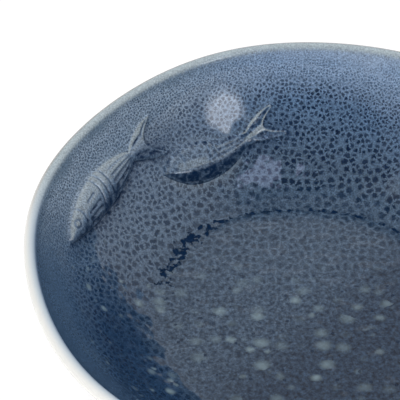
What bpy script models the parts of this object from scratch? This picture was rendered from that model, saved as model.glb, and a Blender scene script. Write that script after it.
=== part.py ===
"""Round hand-formed stoneware salad bowl with two clay fish on the inside wall.

The clay and its glaze coats are turned about Z as parallels of one middle line, which runs from the
dished floor through the heel and the wall to the centre of the rounded lip. The fish are sprigs:
flat-backed reliefs bent to the wall, each seated on the clay in a window of the blue lining.
Units are metres, angles are degrees, Z is up and the foot stands on Z = 0.
"""

import math

import bmesh
import bpy

# Bowl
RIM_DIAMETER = 0.2800  # outside of the lip, midway between crest and hollow
BOWL_HEIGHT = 0.0810
FLOOR_DIAMETER = 0.1535  # of the dished floor, inside the heel
FLOOR_ANGLE = 5.0  # slope of the dished floor at its edge
HEEL_RADIUS = 0.0180  # of the middle line, where the floor turns up into the wall
HEEL_ANGLE = 29.0  # slope at which the heel hands over to the wall

# Layers of the wall
CLAY_THICKNESS = 0.0042
LINING_THICKNESS = 0.0007
COAT_THICKNESS = 0.0005
LIP_BAND = 0.0025  # reach of the lip glaze down the wall, below the lip's centre
JOINT_GAP = 0.0003

# Hand-formed lobes of the rim
LOBE_COUNT = 6
LOBE_HEIGHT = 0.0007
LOBE_CREST_ANGLE = 171.0

# Foot ring
FOOT_DIAMETER = 0.1300
FOOT_WIDTH = 0.0075
FOOT_HEIGHT = 0.0032  # clear height under the middle of the dished floor
FOOT_BEVEL = 0.0012

# Large fish: a body on an arched middle line, and a forked tail that runs on from it
LARGE_FISH_LENGTH = 0.0900  # snout to tail tips, along the wall
LARGE_FISH_TAIL_LENGTH = 0.0222
LARGE_FISH_TAIL_SPAN = 0.0259
LARGE_FISH_TAIL_NOTCH = 0.58  # share of the tail's length before it forks
LARGE_FISH_DEPTH = 0.0235
LARGE_FISH_FULLEST = 0.56  # share of the body's length where it is deepest
LARGE_FISH_FULLNESS = 0.6  # below 1 the body swells sooner behind the snout
LARGE_FISH_SNOUT_HALF = 0.0020  # half the depth of the body at the snout
LARGE_FISH_ROOT_HALF = 0.0032  # half the depth of the body at the root of the tail
LARGE_FISH_ARCH = 0.0015  # sag of the middle line below the snout and the root of the tail
LARGE_FISH_SAG_AT = 0.50  # share of the body's length where the sag is deepest, a half or more
LARGE_FISH_RELIEF = 0.0060
LARGE_FISH_SNOUT_ANGLE = 175.3
LARGE_FISH_DROP = 0.0287  # from the lip's centre down the wall to the snout

# Small fish
SMALL_FISH_LENGTH = 0.0763
SMALL_FISH_TAIL_LENGTH = 0.0202
SMALL_FISH_TAIL_SPAN = 0.0207
SMALL_FISH_TAIL_NOTCH = 0.42
SMALL_FISH_DEPTH = 0.0246
SMALL_FISH_FULLEST = 0.40
SMALL_FISH_FULLNESS = 1.0
SMALL_FISH_SNOUT_HALF = 0.0010
SMALL_FISH_ROOT_HALF = 0.0043
SMALL_FISH_ARCH = 0.0057
SMALL_FISH_SAG_AT = 0.59
SMALL_FISH_RELIEF = 0.0055
SMALL_FISH_SNOUT_ANGLE = 136.9
SMALL_FISH_DROP = 0.0491

# Shared by both fish
FISH_EDGE = 0.0014  # thickness of the sprig at its outline
FISH_END_CROWN = 0.3  # crown at the snout and the root, as a share of the crown where the body is deepest
FISH_TIP_WIDTH = 0.0010  # blunt end of each tail lobe
TAIL_FLARE = 1.8  # above 1 the lobes' front edges bow outwards
TAIL_HOLLOW = 1.6  # above 1 the lobes' rear edges are hollow
WINDOW_DEPTH = 0.0020  # how far a window cutter reaches past the lining on each side

# Facets
SEGMENTS = 60
FLOOR_STEPS = 3
HEEL_STEPS = 3
WALL_STEPS = 7
LIP_STEPS = 6
BODY_ROWS = 10
TAIL_ROOT_ROWS = 2
TAIL_LOBE_ROWS = 3
FISH_COLUMNS = 3

WALL_THICKNESS = LINING_THICKNESS + JOINT_GAP + CLAY_THICKNESS + JOINT_GAP + COAT_THICKNESS
INSIDE = -WALL_THICKNESS / 2  # offset of the lining's face from the middle line
CLAY_INSIDE = INSIDE + LINING_THICKNESS + JOINT_GAP
OUTSIDE = WALL_THICKNESS / 2
CLAY_OUTSIDE = OUTSIDE - COAT_THICKNESS - JOINT_GAP
MERGE_DISTANCE = 1e-6
SHARP_ANGLE = 40.0  # edges that turn more than this stay crisp


def clear_scene():
    for obj in list(bpy.data.objects):
        bpy.data.objects.remove(obj, do_unlink=True)


class MiddleLine:
    """The bowl's half section: dished floor, heel and wall, each an arc that runs on from the last."""

    def __init__(self):
        floor_turn = math.radians(FLOOR_ANGLE)
        self.slope = math.radians(HEEL_ANGLE)
        self.floor_radius = FLOOR_DIAMETER / 2 / math.sin(floor_turn)
        self.floor_end = self.floor_radius * floor_turn
        self.wall_start = self.floor_end + HEEL_RADIUS * (self.slope - floor_turn)
        floor_centre = (0.0, FOOT_HEIGHT + OUTSIDE + self.floor_radius)
        reach = self.floor_radius - HEEL_RADIUS
        heel_centre = (reach * math.sin(floor_turn), floor_centre[1] - reach * math.cos(floor_turn))
        heel_r = heel_centre[0] + HEEL_RADIUS * math.sin(self.slope)
        heel_z = heel_centre[1] - HEEL_RADIUS * math.cos(self.slope)
        chord_r = RIM_DIAMETER / 2 - OUTSIDE - heel_r
        chord_z = BOWL_HEIGHT - OUTSIDE - heel_z
        half_turn = math.atan2(chord_z, chord_r) - self.slope
        self.wall_radius = math.hypot(chord_r, chord_z) / (2 * math.sin(half_turn))
        wall_centre = (
            heel_r - self.wall_radius * math.sin(self.slope),
            heel_z + self.wall_radius * math.cos(self.slope),
        )
        self.length = self.wall_start + self.wall_radius * 2 * half_turn
        self.arcs = [
            (0.0, 0.0, self.floor_radius, floor_centre),
            (self.floor_end, floor_turn, HEEL_RADIUS, heel_centre),
            (self.wall_start, self.slope, self.wall_radius, wall_centre),
        ]

    def arc(self, along):
        """Start, start angle, radius and centre of the arc at this distance from the axis, along the line."""
        return [arc for arc in self.arcs if arc[0] <= along][-1]

    def angle(self, along):
        """Slope of the line at this distance along it."""
        start, turn, radius, _ = self.arc(along)
        return turn + (along - start) / radius

    def point(self, along, offset):
        """(radius, height) at a distance along the line and an offset from it, positive to the outside."""
        _, _, radius, (centre_r, centre_z) = self.arc(along)
        angle = self.angle(along)
        reach = radius + offset
        return centre_r + reach * math.sin(angle), centre_z - reach * math.cos(angle)

    def below(self, radius):
        """Distance along the line of the place on the underside of the floor that has this radius."""
        return self.floor_radius * math.asin(radius / (self.floor_radius + OUTSIDE))

    def stations(self, start, end):
        """Distances along the line that its arcs need, from start to end."""
        ends = [0.0, self.floor_end, self.wall_start, self.length]
        breaks = []
        for low, high, steps in zip(ends, ends[1:], (FLOOR_STEPS, HEEL_STEPS, WALL_STEPS)):
            breaks += [low + (high - low) * i / steps for i in range(steps)]
        return [start] + [along for along in breaks if start < along < end] + [end]

    def lip_arc(self, offset, radius):
        """Half circle over the end of the line, from inside to outside, about a centre at this offset."""
        centre_r, centre_z = self.point(self.length, offset)
        start = self.angle(self.length)
        points = []
        for i in range(LIP_STEPS + 1):
            turn = start + math.pi / 2 * (1 - 2 * i / LIP_STEPS)
            points.append((centre_r + radius * math.cos(turn), centre_z + radius * math.sin(turn)))
        return points


LINE = MiddleLine()


def facet_sag():
    """How far the flat facets of the turned wall stand inside its true curve, both ways together."""
    round_turn = math.pi / SEGMENTS
    wall_turn = (LINE.angle(LINE.length) - LINE.slope) / WALL_STEPS / 2
    return RIM_DIAMETER / 2 * (1 - math.cos(round_turn)) + LINE.wall_radius * (1 - math.cos(wall_turn))


def run(start, end, offset):
    """Points of a parallel of the middle line."""
    return [LINE.point(along, offset) for along in LINE.stations(start, end)]


def lobed(co):
    """Moves a point with the soft lobes, which grow from nothing at the foot to full height at the rim."""
    radius = math.hypot(co.x, co.y)
    if radius < MERGE_DISTANCE:
        return
    angle = math.atan2(co.y, co.x) - math.radians(LOBE_CREST_ANGLE)
    push = LOBE_HEIGHT * (co.z / BOWL_HEIGHT) ** 2 * math.cos(LOBE_COUNT * angle)
    co.x *= 1 + push / radius
    co.y *= 1 + push / radius


def finish(name, mesh, material, parent):
    """Turns a bmesh into a named, smooth-shaded object with its material, carried by the bowl's empty."""
    bmesh.ops.remove_doubles(mesh, verts=mesh.verts, dist=MERGE_DISTANCE)
    bmesh.ops.recalc_face_normals(mesh, faces=mesh.faces)
    data = bpy.data.meshes.new(name)
    mesh.to_mesh(data)
    mesh.free()
    data.shade_smooth()
    data.set_sharp_from_angle(angle=math.radians(SHARP_ANGLE))
    data.materials.append(material)
    obj = bpy.data.objects.new(name, data)
    obj.parent = parent
    bpy.context.scene.collection.objects.link(obj)
    return obj


def turned(name, outline, material, parent, closed):
    """Spins an outline of (radius, height) points about Z. An open outline starts and ends on the axis."""
    mesh = bmesh.new()
    verts = [mesh.verts.new((r, 0, z)) for r, z in outline]
    edges = [mesh.edges.new(pair) for pair in zip(verts, verts[1:])]
    if closed:
        edges.append(mesh.edges.new((verts[-1], verts[0])))
    bmesh.ops.spin(
        mesh,
        geom=verts + edges,
        cent=(0, 0, 0),
        axis=(0, 0, 1),
        angle=math.tau,
        steps=SEGMENTS,
        use_merge=False,
    )
    bmesh.ops.remove_doubles(mesh, verts=mesh.verts, dist=MERGE_DISTANCE)
    for vert in mesh.verts:
        lobed(vert.co)
    return finish(name, mesh, material, parent)


def surface(name, colour, roughness):
    material = bpy.data.materials.new(name)
    material.use_nodes = True
    shader = material.node_tree.nodes["Principled BSDF"]
    shader.inputs["Base Color"].default_value = (*colour, 1)
    shader.inputs["Roughness"].default_value = roughness
    shader.inputs["Metallic"].default_value = 0.0
    return material


def clay_body(bowl):
    """The fired clay shell, with a rounded lip."""
    inner = run(0, LINE.length, CLAY_INSIDE)[:-1]
    lip = LINE.lip_arc((CLAY_INSIDE + CLAY_OUTSIDE) / 2, CLAY_THICKNESS / 2)
    outer = run(0, LINE.length, CLAY_OUTSIDE)[:-1]
    material = surface("fired_stoneware", (0.62, 0.54, 0.44), 0.85)
    return turned("clay_body", inner + lip + outer[::-1], material, bowl, closed=False)


def foot_ring(bowl):
    """Bare clay ring luted under the floor, with bevelled lower edges and a ground flat to stand on."""
    outer = FOOT_DIAMETER / 2
    inner = outer - FOOT_WIDTH
    bevel = min(FOOT_BEVEL, FOOT_WIDTH / 3)
    seat = OUTSIDE - COAT_THICKNESS
    outline = [
        (inner, LINE.point(LINE.below(inner), seat)[1]),
        (inner, bevel),
        (inner + bevel, 0),
        (outer - bevel, 0),
        (outer, bevel),
        (outer, LINE.point(LINE.below(outer), seat)[1]),
    ]
    material = surface("ground_stoneware", (0.60, 0.52, 0.42), 0.85)
    return turned("foot_ring", outline, material, bowl, closed=True)


def inner_glaze(bowl):
    """Blue lining of the floor and wall, up to the lip glaze."""
    end = LINE.length - LIP_BAND - JOINT_GAP
    face = run(0, end, INSIDE)
    back = run(0, end, INSIDE + LINING_THICKNESS)
    material = surface("blue_reactive_glaze", (0.07, 0.12, 0.21), 0.2)
    return turned("inner_glaze", face + back[::-1], material, bowl, closed=False)


def outer_glaze(bowl):
    """White coat of the outside, from the foot ring up to the lip glaze."""
    start = LINE.below(FOOT_DIAMETER / 2 + JOINT_GAP)
    end = LINE.length - LIP_BAND - JOINT_GAP
    face = run(start, end, OUTSIDE)
    back = run(start, end, OUTSIDE - COAT_THICKNESS)
    material = surface("white_glaze", (0.83, 0.82, 0.78), 0.25)
    return turned("outer_glaze", face + back[::-1], material, bowl, closed=True)


def base_glaze(bowl):
    """Disc of white glaze inside the foot ring."""
    end = LINE.below(FOOT_DIAMETER / 2 - FOOT_WIDTH - JOINT_GAP)
    face = run(0, end, OUTSIDE)
    back = run(0, end, OUTSIDE - COAT_THICKNESS)
    material = surface("white_base_glaze", (0.80, 0.79, 0.75), 0.3)
    return turned("base_glaze", face + back[::-1], material, bowl, closed=False)


def lip_glaze(bowl):
    """Thin pale glaze that caps the lip and laps down both sides of the wall."""
    start = LINE.length - LIP_BAND
    clay_middle = (CLAY_INSIDE + CLAY_OUTSIDE) / 2
    face = run(start, LINE.length, INSIDE)[:-1] + LINE.lip_arc(0, WALL_THICKNESS / 2)
    face += run(start, LINE.length, OUTSIDE)[-2::-1]
    back = run(start, LINE.length, INSIDE + LINING_THICKNESS)[:-1]
    back += LINE.lip_arc(clay_middle, CLAY_THICKNESS / 2 + JOINT_GAP)
    back += run(start, LINE.length, OUTSIDE - COAT_THICKNESS)[-2::-1]
    material = surface("thin_lip_glaze", (0.42, 0.47, 0.46), 0.25)
    return turned("lip_glaze", face + back[::-1], material, bowl, closed=True)


class Fish:
    """A sprig's sizes and its seat on the wall.

    Its plan has x along the wall from the snout and y up the wall. The body follows a middle line
    that sags by the arch, and the tail runs on straight from the end of that line.
    """

    def __init__(
        self,
        length,
        tail_length,
        tail_span,
        tail_notch,
        depth,
        fullest,
        fullness,
        snout_half,
        root_half,
        arch,
        sag_at,
        relief,
        snout_angle,
        drop,
    ):
        self.body_length = length - tail_length
        self.tail_length = tail_length
        self.tail_span = tail_span
        self.tail_notch = tail_notch
        self.depth = depth
        self.swell_skew = math.log(0.5) / math.log(fullest)
        self.fullness = fullness
        self.snout_half = snout_half
        self.root_half = root_half
        self.arch = arch
        self.sag_skew = math.log(0.5) / math.log(sag_at)
        self.relief = relief
        self.snout_angle = math.radians(snout_angle)
        self.along = LINE.length - drop
        self.seat_radius = LINE.point(self.along, INSIDE)[0]

    def place(self, along, across):
        """Plan point at a distance along the fish from its snout and a distance across its middle line."""
        inside = min(along, self.body_length)
        past = along - inside
        share = inside / self.body_length
        phase = math.pi * share**self.sag_skew
        turn = math.pi * self.sag_skew * share ** (self.sag_skew - 1) / self.body_length
        slope = -math.atan(self.arch * turn * math.cos(phase))
        x = inside + past * math.cos(slope) - across * math.sin(slope)
        y = -self.arch * math.sin(phase) + past * math.sin(slope) + across * math.cos(slope)
        return x, y

    def swell(self, share):
        """Depth of the body as a share of its deepest, from snout to root."""
        return max(0.0, math.sin(math.pi * share**self.swell_skew)) ** self.fullness

    def body_row(self, side, share):
        """Inner point, outer point and crown height of a row of the body."""
        along = self.body_length * share
        taper = self.snout_half + (self.root_half - self.snout_half) * share
        half = taper + (self.depth / 2 - taper) * self.swell(share)
        crown = (self.relief - FISH_EDGE) * (FISH_END_CROWN + (1 - FISH_END_CROWN) * self.swell(share))
        return self.place(along, 0), self.place(along, side * half), crown

    def tail_row(self, side, share):
        """Inner point, outer point and crown height of a row of the tail, whose lobes part at the notch."""
        flare = 1 - (1 - share) ** TAIL_FLARE
        outer = self.root_half + (self.tail_span / 2 - self.root_half) * flare
        inner_along, inner = share, 0.0
        if share > self.tail_notch:
            past = (share - self.tail_notch) / (1 - self.tail_notch)
            inner_along = self.tail_notch + (1 - self.tail_notch) * past**TAIL_HOLLOW
            inner = (self.tail_span / 2 - FISH_TIP_WIDTH) * past
        root, length = self.body_length, self.tail_length
        crown = (self.relief - FISH_EDGE) * FISH_END_CROWN * (1 - share)
        inner_point = self.place(root + length * inner_along, side * inner)
        return inner_point, self.place(root + length * share, side * outer), crown

    def rows(self, side):
        """Rows of one half of the plan, from the snout to the tip of the tail's lobe."""
        for i in range(BODY_ROWS):
            yield self.body_row(side, i / (BODY_ROWS - 1))
        for i in range(TAIL_ROOT_ROWS):
            yield self.tail_row(side, self.tail_notch * (i + 1) / TAIL_ROOT_ROWS)
        for i in range(TAIL_LOBE_ROWS):
            share = (i + 1) / TAIL_LOBE_ROWS
            yield self.tail_row(side, self.tail_notch + (1 - self.tail_notch) * share)

    def seat(self, x, y, height):
        """Place in space of a plan point that stands this high above the sprig's back."""
        back = INSIDE + LINING_THICKNESS - facet_sag()
        radius, z = LINE.point(self.along + y, back - height)
        angle = self.snout_angle - x / self.seat_radius
        return radius * math.cos(angle), radius * math.sin(angle), z


def fish_plan(fish):
    """Flat quad mesh of the fish's outline, and the height of its crowned face at each plan point."""
    mesh = bmesh.new()
    heights = {}
    grid = {}
    notch_row = BODY_ROWS + TAIL_ROOT_ROWS - 1
    for side in (1, -1):
        for index, (inner, outer, crown) in enumerate(fish.rows(side)):
            for column in range(FISH_COLUMNS + 1):
                share = column / FISH_COLUMNS
                x = inner[0] + (outer[0] - inner[0]) * share
                y = inner[1] + (outer[1] - inner[1]) * share
                shared = side == -1 and column == 0 and index <= notch_row
                vert = grid[1, index, 0] if shared else mesh.verts.new((x, y, 0))
                grid[side, index, column] = vert
                heights[vert] = FISH_EDGE + crown * math.sqrt(1 - share * share)
    last = notch_row + TAIL_LOBE_ROWS
    for side in (1, -1):
        for index in range(last):
            for column in range(FISH_COLUMNS):
                corners = [
                    grid[side, index, column],
                    grid[side, index + 1, column],
                    grid[side, index + 1, column + 1],
                    grid[side, index, column + 1],
                ]
                mesh.faces.new(corners[::side])
    return mesh, heights


def grow_outline(mesh, distance):
    """Moves the plan's outline outwards by a distance."""
    moves = {}
    for edge in mesh.edges:
        if not edge.is_boundary:
            continue
        first, second = edge.verts
        run_of_edge = (second.co - first.co).normalized()
        normal = run_of_edge.cross((0, 0, 1))
        inwards = edge.link_faces[0].calc_center_median() - first.co
        if normal.dot(inwards) > 0:
            normal.negate()
        for vert in edge.verts:
            moves.setdefault(vert, []).append(normal)
    for vert, normals in moves.items():
        middle = sum(normals[1:], normals[0]).normalized()
        vert.co += middle * distance / max(0.5, middle.dot(normals[0]))


def fish_solid(name, fish, bowl):
    """The crowned sprig, flat-backed in plan and bent to the wall."""
    mesh, heights = fish_plan(fish)
    tops = {}
    for vert, height in heights.items():
        tops[vert.co.x, vert.co.y] = height
    lifted = bmesh.ops.extrude_face_region(mesh, geom=mesh.faces[:])["geom"]
    top_verts = {item for item in lifted if isinstance(item, bmesh.types.BMVert)}
    for vert in mesh.verts:
        x, y = vert.co.x, vert.co.y
        vert.co = fish.seat(x, y, tops[x, y] if vert in top_verts else 0)
        lobed(vert.co)
    material = surface(name + "_glaze", (0.09, 0.14, 0.23), 0.25)
    return finish(name, mesh, material, bowl)


def fish_window(name, fish, lining):
    """Cuts the lining around a fish, with the joint gap all round."""
    mesh, _ = fish_plan(fish)
    grow_outline(mesh, JOINT_GAP)
    lifted = bmesh.ops.extrude_face_region(mesh, geom=mesh.faces[:])["geom"]
    top_verts = {item for item in lifted if isinstance(item, bmesh.types.BMVert)}
    for vert in mesh.verts:
        height = LINING_THICKNESS + WINDOW_DEPTH if vert in top_verts else -WINDOW_DEPTH
        vert.co = fish.seat(vert.co.x, vert.co.y, height)
        lobed(vert.co)
    cutter = finish(name, mesh, lining.data.materials[0], lining.parent)
    cutter.hide_render = True
    cutter.display_type = "WIRE"
    cut = lining.modifiers.new(name, "BOOLEAN")
    cut.object = cutter
    cut.operation = "DIFFERENCE"
    cut.solver = "EXACT"


def main():
    clear_scene()
    bowl = bpy.data.objects.new("salad_bowl", None)
    bpy.context.scene.collection.objects.link(bowl)
    clay_body(bowl)
    foot_ring(bowl)
    outer_glaze(bowl)
    base_glaze(bowl)
    lip_glaze(bowl)
    lining = inner_glaze(bowl)
    large = Fish(
        LARGE_FISH_LENGTH,
        LARGE_FISH_TAIL_LENGTH,
        LARGE_FISH_TAIL_SPAN,
        LARGE_FISH_TAIL_NOTCH,
        LARGE_FISH_DEPTH,
        LARGE_FISH_FULLEST,
        LARGE_FISH_FULLNESS,
        LARGE_FISH_SNOUT_HALF,
        LARGE_FISH_ROOT_HALF,
        LARGE_FISH_ARCH,
        LARGE_FISH_SAG_AT,
        LARGE_FISH_RELIEF,
        LARGE_FISH_SNOUT_ANGLE,
        LARGE_FISH_DROP,
    )
    small = Fish(
        SMALL_FISH_LENGTH,
        SMALL_FISH_TAIL_LENGTH,
        SMALL_FISH_TAIL_SPAN,
        SMALL_FISH_TAIL_NOTCH,
        SMALL_FISH_DEPTH,
        SMALL_FISH_FULLEST,
        SMALL_FISH_FULLNESS,
        SMALL_FISH_SNOUT_HALF,
        SMALL_FISH_ROOT_HALF,
        SMALL_FISH_ARCH,
        SMALL_FISH_SAG_AT,
        SMALL_FISH_RELIEF,
        SMALL_FISH_SNOUT_ANGLE,
        SMALL_FISH_DROP,
    )
    for name, fish in (("large_fish", large), ("small_fish", small)):
        fish_solid(name, fish, bowl)
        fish_window(name + "_window", fish, lining)


main()
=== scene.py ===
"""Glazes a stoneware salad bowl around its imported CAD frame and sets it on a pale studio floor.

The lining, the lip and the two fish share one reactive blue glaze, the outside and the base are white,
and the foot is bare clay. Units are metres unless a name or comment says mm, Z is up and the foot stands
on Z = 0.
"""

import math
from functools import partial
from typing import NamedTuple

import bpy
import numpy as np
from bpy.props import FloatProperty, FloatVectorProperty, IntProperty, PointerProperty
from bpy.types import Operator, Panel, PropertyGroup
from mathutils import Matrix, Vector


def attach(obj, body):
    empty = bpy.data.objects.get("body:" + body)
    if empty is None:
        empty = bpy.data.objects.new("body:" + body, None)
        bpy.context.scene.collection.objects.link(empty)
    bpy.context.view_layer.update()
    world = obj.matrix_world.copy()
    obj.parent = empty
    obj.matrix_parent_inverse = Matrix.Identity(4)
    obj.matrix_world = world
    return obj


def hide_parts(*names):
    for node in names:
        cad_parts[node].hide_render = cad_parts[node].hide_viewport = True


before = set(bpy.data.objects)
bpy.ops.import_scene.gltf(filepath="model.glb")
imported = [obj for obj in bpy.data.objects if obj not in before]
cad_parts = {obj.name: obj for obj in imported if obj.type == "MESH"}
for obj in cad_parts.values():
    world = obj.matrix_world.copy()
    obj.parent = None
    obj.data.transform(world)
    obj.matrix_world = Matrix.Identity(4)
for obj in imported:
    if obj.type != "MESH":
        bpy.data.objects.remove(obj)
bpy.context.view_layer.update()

bl_info = {
    "name": "Stoneware salad bowl",
    "version": (1, 0, 0),
    "blender": (4, 5, 0),
    "location": "View3D > Sidebar > Bowl",
    "description": "Models a glazed stoneware salad bowl with two fish on its wall",
    "category": "Add Mesh",
}

MM = 0.001
BODY = "root"
MERGE_DISTANCE = 1e-6
SEED_SIZE = 0.001  # of the plane that is merged to a section's first vertex
SMOOTH_ANGLE = math.radians(40)  # edges sharper than this stay sharp

# Facets of the turned pieces: steps over the floor, the heel and the wall
SEGMENTS = 360
FINE = (26, 34, 58)
PLAIN = (13, 11, 19)
COARSE = (4, 4, 14)
LIP_STEPS = 22
BEVEL_STEPS = 6
HEEL_BEFORE = 12 * MM  # the finer steps of the heel start this far inside the floor's edge
SPREAD_STEPS = 500
SPREAD_BEYOND = 0.02  # the glaze map runs on this far over the lip


def linear(code):
    """Linear RGB of an sRGB hex colour."""
    values = [int(code[i:i + 2], 16) / 255 for i in (1, 3, 5)]
    return tuple(v / 12.92 if v <= 0.04045 else ((v + 0.055) / 1.055) ** 2.4 for v in values)


def length(name, description, default):
    """A property that holds a length in metres."""
    return FloatProperty(
        name=name, description=description, default=default,
        min=0.0, precision=5, unit="LENGTH", subtype="DISTANCE",
    )


def turn(name, description, degrees):
    """A property that holds an angle."""
    return FloatProperty(
        name=name, description=description, default=math.radians(degrees),
        unit="ROTATION", subtype="ANGLE",
    )


def tint(name, description, code):
    """A property that holds a colour, from its sRGB hex value."""
    return FloatVectorProperty(
        name=name, description=description, default=linear(code),
        size=3, min=0.0, max=1.0, subtype="COLOR",
    )


def portion(name, description, default):
    """A property that holds a share of something."""
    return FloatProperty(
        name=name, description=description, default=default,
        min=0.0, max=1.0, subtype="FACTOR",
    )


class BowlSizes(PropertyGroup):
    """Sizes of the turned bowl, as in the CAD model."""

    rim_diameter: length("Rim diameter", "Outside of the lip, midway between crest and hollow", 0.2797)
    bowl_height: length("Height", "From the foot to the top of the lip", 0.0809)
    floor_diameter: length("Floor diameter", "Of the dished floor, inside the heel", 0.1535)
    floor_angle: turn("Floor slope", "Slope of the dished floor at its edge", 5.0)
    heel_radius: length("Heel radius", "Of the middle line, where the floor turns up into the wall", 0.0180)
    heel_angle: turn("Heel slope", "Slope at which the heel hands over to the wall", 29.0)
    wall_thickness: length("Wall thickness", "Clay and both glazes together", 0.0060)
    lining_thickness: length("Lining thickness", "Of the blue glaze", 0.0007)
    coat_thickness: length("Coat thickness", "Of the white glaze", 0.0005)
    lip_band: length("Lip band", "Reach of the lip glaze below the lip's centre", 0.0025)
    lobe_count: IntProperty(name="Lobes", description="Soft lobes round the rim", default=6, min=0)
    lobe_height: length("Lobe height", "How far a lobe stands out at the rim", 0.0007)
    lobe_crest: turn("Lobe crest", "Direction of one lobe", 171.0)
    foot_diameter: length("Foot diameter", "Outside of the foot ring", 0.1300)
    foot_width: length("Foot width", "Of the foot ring", 0.0075)
    foot_height: length("Foot height", "Clear height under the middle of the floor", 0.0032)
    foot_bevel: length("Foot bevel", "Of the ring's lower edges", 0.0012)


class LargeFish(PropertyGroup):
    """Sizes and seat of the large fish."""

    length: length("Length", "Snout to tail tips", 0.0900)
    tail_length: length("Tail length", "Root to tips", 0.0222)
    tail_span: length("Tail span", "Tip to tip", 0.0259)
    tail_notch: portion("Tail notch", "Share of the tail's length before it forks", 0.58)
    tail_lift: length("Tail lift", "How far the lobes curve towards the back", 0.0009)
    tail_tip: length("Tail tip", "Width of a lobe at its tip", 0.0010)
    depth: length("Depth", "Of the body where it is deepest", 0.0235)
    fullest: portion("Fullest at", "Share of the body's length where it is deepest", 0.56)
    fullness: portion("Fullness", "Below 1 the body swells sooner behind the snout", 0.60)
    snout_half: length("Snout", "Half the depth of the body at the snout", 0.0020)
    root_half: length("Root", "Half the depth of the body at the root of the tail", 0.0032)
    arch: length("Arch", "Sag of the middle line", 0.0015)
    sag_at: portion("Sag at", "Share of the body's length where the sag is deepest", 0.50)
    relief: length("Relief", "Height above the lining", 0.0055)
    snout_angle: turn("Snout direction", "Direction of the snout round the bowl", 175.3)
    drop: length("Drop", "From the lip's centre down the wall to the snout", 0.0287)


class SmallFish(PropertyGroup):
    """Sizes and seat of the small fish."""

    length: length("Length", "Snout to tail tips", 0.0763)
    tail_length: length("Tail length", "Root to tips", 0.0202)
    tail_span: length("Tail span", "Tip to tip", 0.0207)
    tail_notch: portion("Tail notch", "Share of the tail's length before it forks", 0.52)
    tail_lift: length("Tail lift", "How far the lobes curve towards the back", 0.0004)
    tail_tip: length("Tail tip", "Width of a lobe at its tip", 0.0024)
    depth: length("Depth", "Of the body where it is deepest", 0.0246)
    fullest: portion("Fullest at", "Share of the body's length where it is deepest", 0.40)
    fullness: portion("Fullness", "Below 1 the body swells sooner behind the snout", 1.00)
    snout_half: length("Snout", "Half the depth of the body at the snout", 0.0010)
    root_half: length("Root", "Half the depth of the body at the root of the tail", 0.0043)
    arch: length("Arch", "Sag of the middle line", 0.0057)
    sag_at: portion("Sag at", "Share of the body's length where the sag is deepest", 0.59)
    relief: length("Relief", "Height above the lining", 0.0050)
    snout_angle: turn("Snout direction", "Direction of the snout round the bowl", 136.9)
    drop: length("Drop", "From the lip's centre down the wall to the snout", 0.0491)


class BowlColours(PropertyGroup):
    """Colours of the glazes and the clay."""

    net_lip: tint("Far net, at the lip", "Thin pale glaze between the finest dots", "#96a8bf")
    net_high: tint("Far net, high", "Threads between the dots of the upper wall", "#869db9")
    net_middle: tint("Far net, middle", "Threads between the dots half way down", "#58728f")
    net_low: tint("Far net, low", "Threads of the lower wall and the floor", "#4b5e72")
    dot_lip: tint("Far dots, at the lip", "Finest dots", "#8597ad")
    dot_high: tint("Far dots, high", "Dots of the upper wall", "#36516d")
    dot_middle: tint("Far dots, middle", "Dark dots half way down", "#051b37")
    dot_low: tint("Far dots, low", "Dark dots above the heel", "#071b35")
    dot_floor: tint("Floor dots", "Dark middles of the floor's cells", "#0d243a")
    west_lip: tint("Left net, at the lip", "Thick grey-blue glaze under the left lip", "#5d7081")
    west_high: tint("Left net, high", "Thin grey-green glaze above the fish", "#93a3b2")
    west_low: tint("Left net, low", "Threads of the left wall", "#5f7287")
    west_dot_high: tint("Left dots, high", "Fine dots above the fish", "#2c4058")
    west_dot_low: tint("Left dots, low", "Dots of the left wall", "#15304b")
    calm_high: tint("Near side, high", "Even glaze of the near wall", "#3a4f66")
    calm_middle: tint("Near side, middle", "Even glaze half way down the near wall", "#415871")
    calm_low: tint("Near side, low", "Even glaze lower down the near wall", "#203853")
    calm_dot: tint("Near side, dots", "Weak dots of the near wall", "#0a2340")
    # pool_deep also colours the painted shade on and under the fish's bellies
    pool_deep: tint("Deep pools", "Thick glaze in grooves and at the floor's edge", "#0b213c")
    crystal: tint("Crystals", "Pale crystals that float in the floor's glaze", "#8ea3a8")
    # ridge also colours the painted glints and the painted light on the fish's backs
    ridge: tint("Ridges", "Thin glaze that breaks pale over an edge", "#889296")
    lip_far: tint("Lip, far side", "Thin grey glaze over the lip", "#949fa4")
    lip_edge: tint("Lip edge, far side", "Thin warm edge of the grey glaze", "#8f8f8c")
    lip_blue: tint("Lip, near side", "Pale blue glaze where the near lip starts", "#7e90a3")
    lip_pale: tint("Lip top, near side", "Thinner glaze on top of the near lip", "#abb5bc")
    lip_cream: tint("Lip outside, near side", "Cream glaze where the near lip turns outwards", "#cfcfcb")
    white: tint("White glaze", "Satin white glaze of the outside", "#e4e2dd")
    clay: tint("Bare clay", "Fired stoneware of the foot", "#b39c80")


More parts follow.
